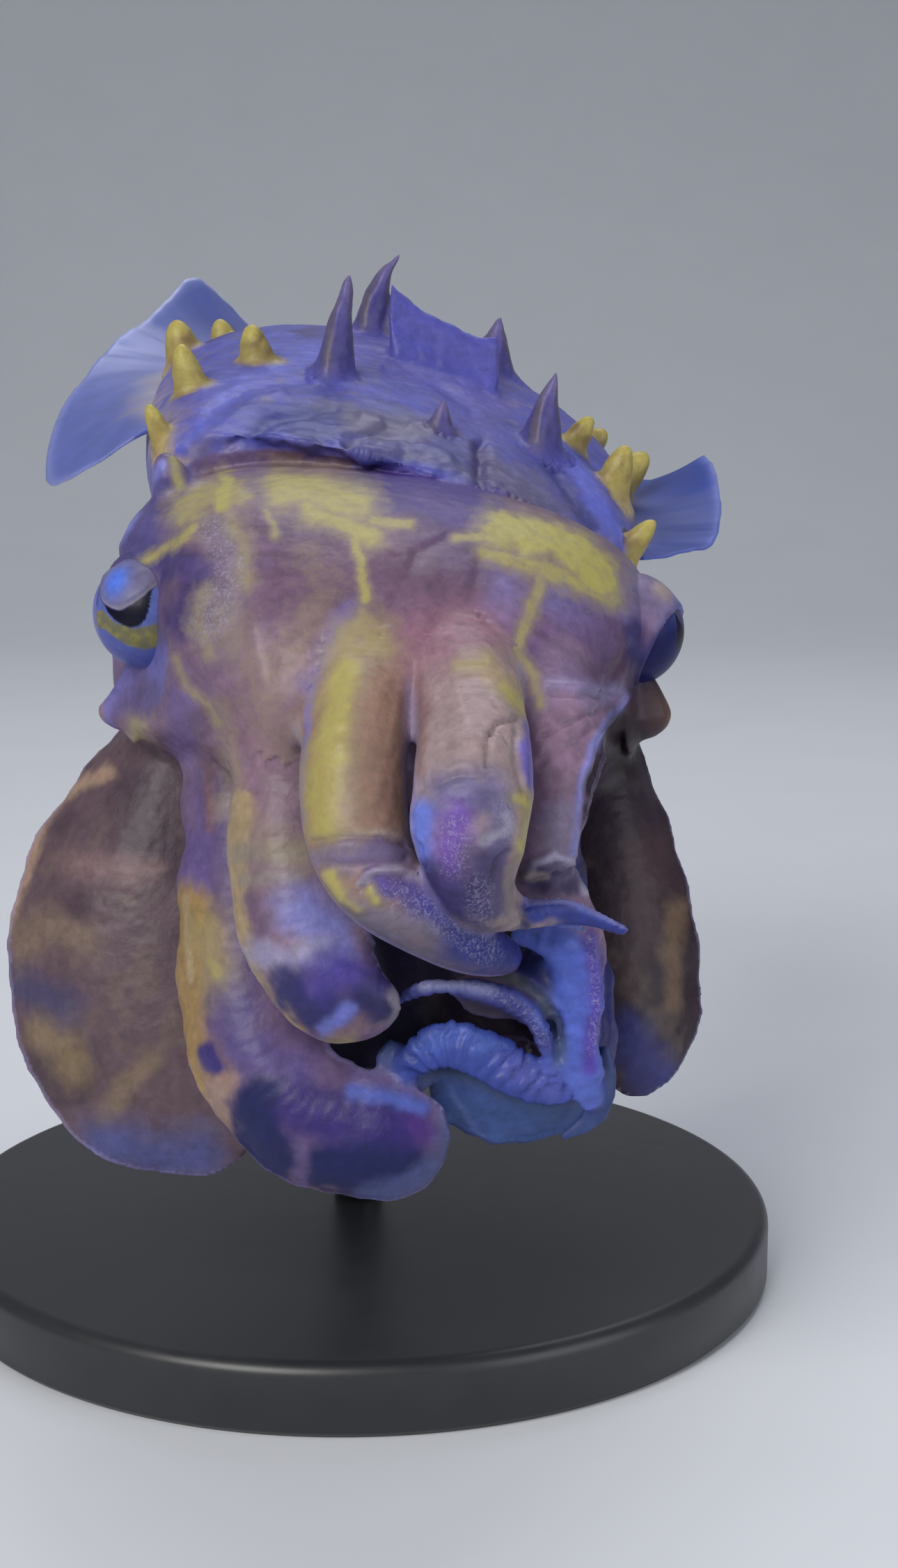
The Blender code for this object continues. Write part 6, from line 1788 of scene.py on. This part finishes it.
def build_suckers(made):
    points, faces = [], []
    turns = circle(SUCKER_SIDES)
    for arm in ARMS.values():
        line, across, outward, width, depth, length = arm_line(arm, SUCKER_STEP)
        travelled = np.linspace(0, length, len(line))
        at, row = SUCKERS_START * length, 0
        while at < SUCKERS_END * length:
            i = int(np.searchsorted(travelled, at))
            w, d = width[i], depth[i]
            for column, u in enumerate(SUCKER_COLUMNS):
                if (column + row) % 2:
                    continue
                radius = max(SUCKER_SIZE * w, SUCKER_LEAST)
                margin = min(ARM_MARGIN, 0.8 * d)
                inner = margin + (ORAL_DEPTH * d - margin) * (1 - u * u) ** arm["keel"]
                foot = line[i] + across[i] * u * w - outward[i] * (arm["cup"] * w * u * u + inner)
                start = len(points)
                for height, girth in SUCKER_PROFILE:
                    for t in turns:
                        ring = across[i] * math.cos(t) + np.cross(outward[i], across[i]) * math.sin(t)
                        points.append(foot - outward[i] * height * radius + ring * girth * radius)
                for ring in range(len(SUCKER_PROFILE) - 1):
                    for k in range(SUCKER_SIDES):
                        a = start + ring * SUCKER_SIDES + k
                        b = start + ring * SUCKER_SIDES + (k + 1) % SUCKER_SIDES
                        faces.append((a, b, b + SUCKER_SIDES, a + SUCKER_SIDES))
                faces.append(tuple(range(start, start + SUCKER_SIDES))[::-1])
                last = start + (len(SUCKER_PROFILE) - 1) * SUCKER_SIDES
                faces.append(tuple(range(last, last + SUCKER_SIDES)))
            at += max(SUCKER_PITCH * w, SUCKER_GAP)
            row += 1
    body = finished("suckers", np.array(points), faces, made)
    face_outward(body.data)


def eye_material():
    """A wet eyeball with a clear coat over faintly clouded colours."""
    eye = Surface("eye")
    cloud = eye.ranged(eye.noise(1500.0, 4.0), 0.3, 0.7, 0.86, 1.14)
    tone = eye.blended(1.0, eye.attribute("ground", "Color"), cloud, "MULTIPLY")
    return eye.finish(tone, {
        "Roughness": 0.4,
        "Specular IOR Level": 0.14,
        "Coat Weight": 0.05,
        "Coat Roughness": 0.12,
    })


# Eyeballs: the way each pupil looks, then the lines across its face as pairs of how far the line is across,
# towards the tail, and how high it is there, in shares of the radius from where the pupil looks.
PUPIL_LOOKS = {"eye_right": (-0.35, -0.93, -0.06), "eye_left": (0.97, -0.14, -0.12)}
PUPIL_FOOT = ((-0.5, 0.6), (-0.46, 0.3), (-0.44, 0.06), (-0.39, -0.13), (-0.26, -0.25), (-0.11, -0.28),
              (0.03, -0.23), (0.18, -0.14), (0.32, -0.01), (0.43, 0.17), (0.47, 0.6))
BULB_FOOT = ((-0.6, 0.5), (-0.41, 0.32), (-0.36, 0.25), (-0.28, 0.19), (-0.17, 0.11), (0.01, 0.02),
             (0.09, 0.01), (0.24, 0.05), (0.41, 0.13), (0.5, 0.22), (0.62, 0.42), (0.7, 0.6))
YELLOW_TOP = ((-0.57, -0.20), (-0.36, -0.26), (-0.13, -0.29), (0.18, -0.18), (0.42, 0.02))
YELLOW_FOOT = ((-0.48, -0.60), (-0.25, -0.66), (0.05, -0.57), (0.31, -0.39), (0.46, -0.28))
# Where the painted highlight on the bulb is brightest.
BULB_HIGHLIGHT = (0.20, 0.50)
LINE_SOFT = 0.035
YELLOW_SOFT = 0.06
NOTCH_ACROSS = 0.62
BULB_SWELL = 0.03
EYE_RINGS = 110
EYE_STEPS = 180


def ball(look):
    """Directions over a whole ball in rings round the way it looks, with its faces."""
    side = unit(np.cross(look, (0.0, 0.0, 1.0)))
    top = np.cross(side, look)
    points, faces = [], []
    for i in range(1, EYE_RINGS):
        a = math.pi * i / EYE_RINGS
        for j in range(EYE_STEPS):
            b = 2 * math.pi * j / EYE_STEPS
            points.append(look * math.cos(a) + (side * math.cos(b) + top * math.sin(b)) * math.sin(a))
    points += [look, -look]
    for i in range(EYE_RINGS - 2):
        for j in range(EYE_STEPS):
            k = (j + 1) % EYE_STEPS
            a, b = i * EYE_STEPS, (i + 1) * EYE_STEPS
            faces.append((a + j, b + j, b + k, a + k))
    front, rear = len(points) - 2, len(points) - 1
    last = (EYE_RINGS - 2) * EYE_STEPS
    for j in range(EYE_STEPS):
        k = (j + 1) % EYE_STEPS
        faces.append((front, j, k))
        faces.append((rear, last + k, last + j))
    return np.array(points), faces, side, top


def above(line, across, rise, soft=LINE_SOFT):
    """How far above a line across the eye each point lies, from 0 to 1."""
    return smooth((rise - np.interp(across, *zip(*line))) / soft + 0.5)


def build_eye(name, made):
    centre = np.array(EYES[name])
    look = unit(np.array(PUPIL_LOOKS[name]))
    points, faces, side, top = ball(look)
    across = points @ side * (1 if name == "eye_right" else -1)
    rise = points @ top
    before = smooth(points @ look * 8)
    bulb = above(BULB_FOOT, across, rise) * before
    pupil = above(PUPIL_FOOT, across, rise) * (1 - bulb) * before
    over_yellow = above(YELLOW_FOOT, across, rise, YELLOW_SOFT)
    yellow = (1 - above(YELLOW_TOP, across, rise, YELLOW_SOFT)) * over_yellow * before
    mottle = noise(points * EYE_RADIUS, 0.7, 41, 3)
    foot = np.interp(across, *zip(*BULB_FOOT))
    # A painted highlight: a blue spot on the bulb.
    light = np.exp(-(((across - BULB_HIGHLIGHT[0]) / 0.22) ** 2 + ((rise - BULB_HIGHLIGHT[1]) / 0.25) ** 2))
    notch = np.exp(-(((across - NOTCH_ACROSS) / 0.035) ** 2))
    notch = notch * smooth((rise - 0.05) / 0.1) * smooth((0.7 - rise) / 0.1)
    layers = [
        (seen(104, 102, 78), yellow),
        (seen(132, 126, 66), 0.7 * yellow * smooth(0.3 + mottle * 2)),
        (seen(78, 86, 156), 1 - over_yellow),
        (seen(106, 102, 132), bulb),
        (seen(136, 130, 140), 0.8 * bulb * smooth(1 - (rise - foot) / 0.12)),
        (seen(84, 116, 214), bulb * np.clip(light * 1.3, 0, 1)),
        (seen(108, 112, 184), 0.9 * smooth((across - 0.60) / 0.12)),
        (seen(46, 44, 92), 0.85 * smooth(1 - np.abs(rise - foot) / 0.03) * before),
        (seen(60, 58, 110), 0.7 * notch * before),
    ]
    # Painted shade: the eye at the viewer's right is darkened below and towards the nose.
    if name == "eye_left":
        shade = 0.8 * smooth((-across - 0.45) / 0.2) * smooth(-rise / 0.3)
        layers += [(seen(22, 24, 82), smooth(0.9 - rise)), (seen(20, 22, 72), shade)]
    layers.append((seen(7, 9, 30), pupil))
    colour = np.tile(seen(86, 98, 164), (len(points), 1))
    for tint, amount in layers:
        colour = mixed(colour, tint, amount)
    swell = BULB_SWELL * bulb * smooth((rise - foot) / 0.15) * smooth((0.84 - rise) / 0.2)
    swell = swell * (name == "eye_right")
    body = finished(name + "_ball", centre + points * (EYE_RADIUS * (1 + swell))[:, None], faces, made,
                    (("ground", np.clip(colour, DARKEST, 1)),))
    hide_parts(name)


def stand_material():
    satin = Surface("stand_satin")
    grain = satin.noise(260.0, 6.0, Roughness=0.65)
    tone = satin.blended(grain, (0.012, 0.013, 0.015, 1.0), (0.024, 0.025, 0.028, 1.0))
    satin.bump(satin.noise(2400.0, 2.0), 0.05, 0.0001)
    return satin.finish(tone, {"Roughness": satin.ranged(grain, 0.0, 1.0, 0.30, 0.46)})


BASE_SIDES = 192
RIM_STEPS = 8
MERGE = 1e-6


def build_stand():
    """The base is turned finely, with a rounded rim; the rod keeps its own mesh."""
    made = stand_material()
    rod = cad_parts["stand_rod"]
    rod.data.materials.clear()
    rod.data.materials.append(made)
    profile = [(0.0, 0.0), (BASE_RADIUS - FOOT_BEVEL, 0.0), (BASE_RADIUS, FOOT_BEVEL)]
    for k in range(RIM_STEPS + 1):
        a = math.pi / 2 * k / RIM_STEPS
        profile.append((BASE_RADIUS - BASE_BEVEL * (1 - math.cos(a)),
                        BASE_THICK - BASE_BEVEL * (1 - math.sin(a))))
    profile.append((ROD_RADIUS + ROD_GAP, BASE_THICK))
    profile.append((0.0, BASE_THICK))
    points, faces = [], []
    for k in range(BASE_SIDES):
        a = 2 * math.pi * k / BASE_SIDES
        points += [(r * math.cos(a) * MM, r * math.sin(a) * MM, z * MM) for r, z in profile]
    count = len(profile)
    for k in range(BASE_SIDES):
        a, b = k * count, (k + 1) % BASE_SIDES * count
        faces += [(a + j, b + j, b + j + 1, a + j + 1) for j in range(count - 1)]
    body = new_object("base_turned", points, faces)
    face_outward(body.data, MERGE)
    body.data.shade_smooth()
    body.data.materials.append(made)
    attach(body, "root")
    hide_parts("stand_base")


# The stage in metres: half its width, where its floor starts and ends, and its wall's curve and top.
STAGE_HALF = 1.6
FLOOR_START = -1.2
FLOOR_END = 0.5
WALL_CURVE = 0.5
WALL_TOP = 1.8
WALL_STEPS = 12
PAPER_TONES = ((0.62, 0.64, 0.68, 1.0), (0.66, 0.68, 0.72, 1.0))


def build_stage():
    """A pale floor that curves up into a plain wall behind."""
    profile = [(FLOOR_START, 0.0), (FLOOR_END, 0.0)]
    for k in range(1, WALL_STEPS + 1):
        a = math.pi / 2 * k / WALL_STEPS
        profile.append((FLOOR_END + WALL_CURVE * math.sin(a), WALL_CURVE * (1 - math.cos(a))))
    profile.append((FLOOR_END + WALL_CURVE, WALL_TOP))
    points = [(x, y, z) for x in (-STAGE_HALF, STAGE_HALF) for y, z in profile]
    count = len(profile)
    faces = [(k, k + count, k + count + 1, k + 1) for k in range(count - 1)]
    floor = new_object("floor", points, faces)
    floor.data.shade_smooth()
    paper = Surface("floor_paper")
    ramp = paper.nodes.new("ShaderNodeValToRGB")
    for element, tone in zip(ramp.color_ramp.elements, PAPER_TONES):
        element.color = tone
    paper.feed(ramp.inputs[0], paper.noise(40.0, 3.0))
    floor.data.materials.append(paper.finish(ramp.outputs[0], {"Roughness": 0.8}))


# Lights: place in metres, size, power and colour; all look at the animal.
LIGHTS = {
    "key": ((-0.28, -0.50, 0.40), 0.35, 3.9, (1.0, 0.98, 0.95)),
    "fill": ((0.50, -0.35, 0.20), 0.45, 1.4, (0.93, 0.96, 1.0)),
    "top": ((0.05, 0.25, 0.60), 0.40, 1.5, (0.95, 0.97, 1.0)),
}
LIGHT_AIM = Vector((0.0, 0.0, 0.05))
ROOM_COLOUR = (0.85, 0.90, 1.0, 1.0)
ROOM_LIGHT = 0.22


def build_lights():
    scene = bpy.context.scene
    for name, (place, size, power, colour) in LIGHTS.items():
        light = bpy.data.lights.new(name, "AREA")
        light.size = size
        light.energy = power
        light.color = colour
        lamp = bpy.data.objects.new(name, light)
        lamp.location = place
        lamp.rotation_euler = (LIGHT_AIM - Vector(place)).to_track_quat("-Z", "Y").to_euler()
        scene.collection.objects.link(lamp)
    scene.world = bpy.data.worlds.new("studio")
    scene.world.use_nodes = True
    room = scene.world.node_tree.nodes["Background"]
    room.inputs["Color"].default_value = ROOM_COLOUR
    room.inputs["Strength"].default_value = ROOM_LIGHT
    scene.view_settings.view_transform = "Standard"


def build_camera():
    camera = bpy.data.cameras.new("camera")
    camera.lens = LENS
    camera.sensor_width = SENSOR
    camera.clip_start = 0.01
    camera.clip_end = 20.0
    holder = bpy.data.objects.new("camera", camera)
    holder.location = to_world([EYE_POINT])[0]
    holder.rotation_euler = (math.pi / 2 - VIEW_TILT, 0.0, 0.0)
    bpy.context.scene.collection.objects.link(holder)
    bpy.context.scene.camera = holder


build_camera()
build_skin()
fin_finish = fin_material()
for fin_name, fin_rows in FIN_ROWS.items():
    build_fin(fin_name, fin_rows, fin_finish)
build_suckers(sucker_material())
eye_finish = eye_material()
for eye_name in EYES:
    build_eye(eye_name, eye_finish)
build_stand()
build_stage()
build_lights()
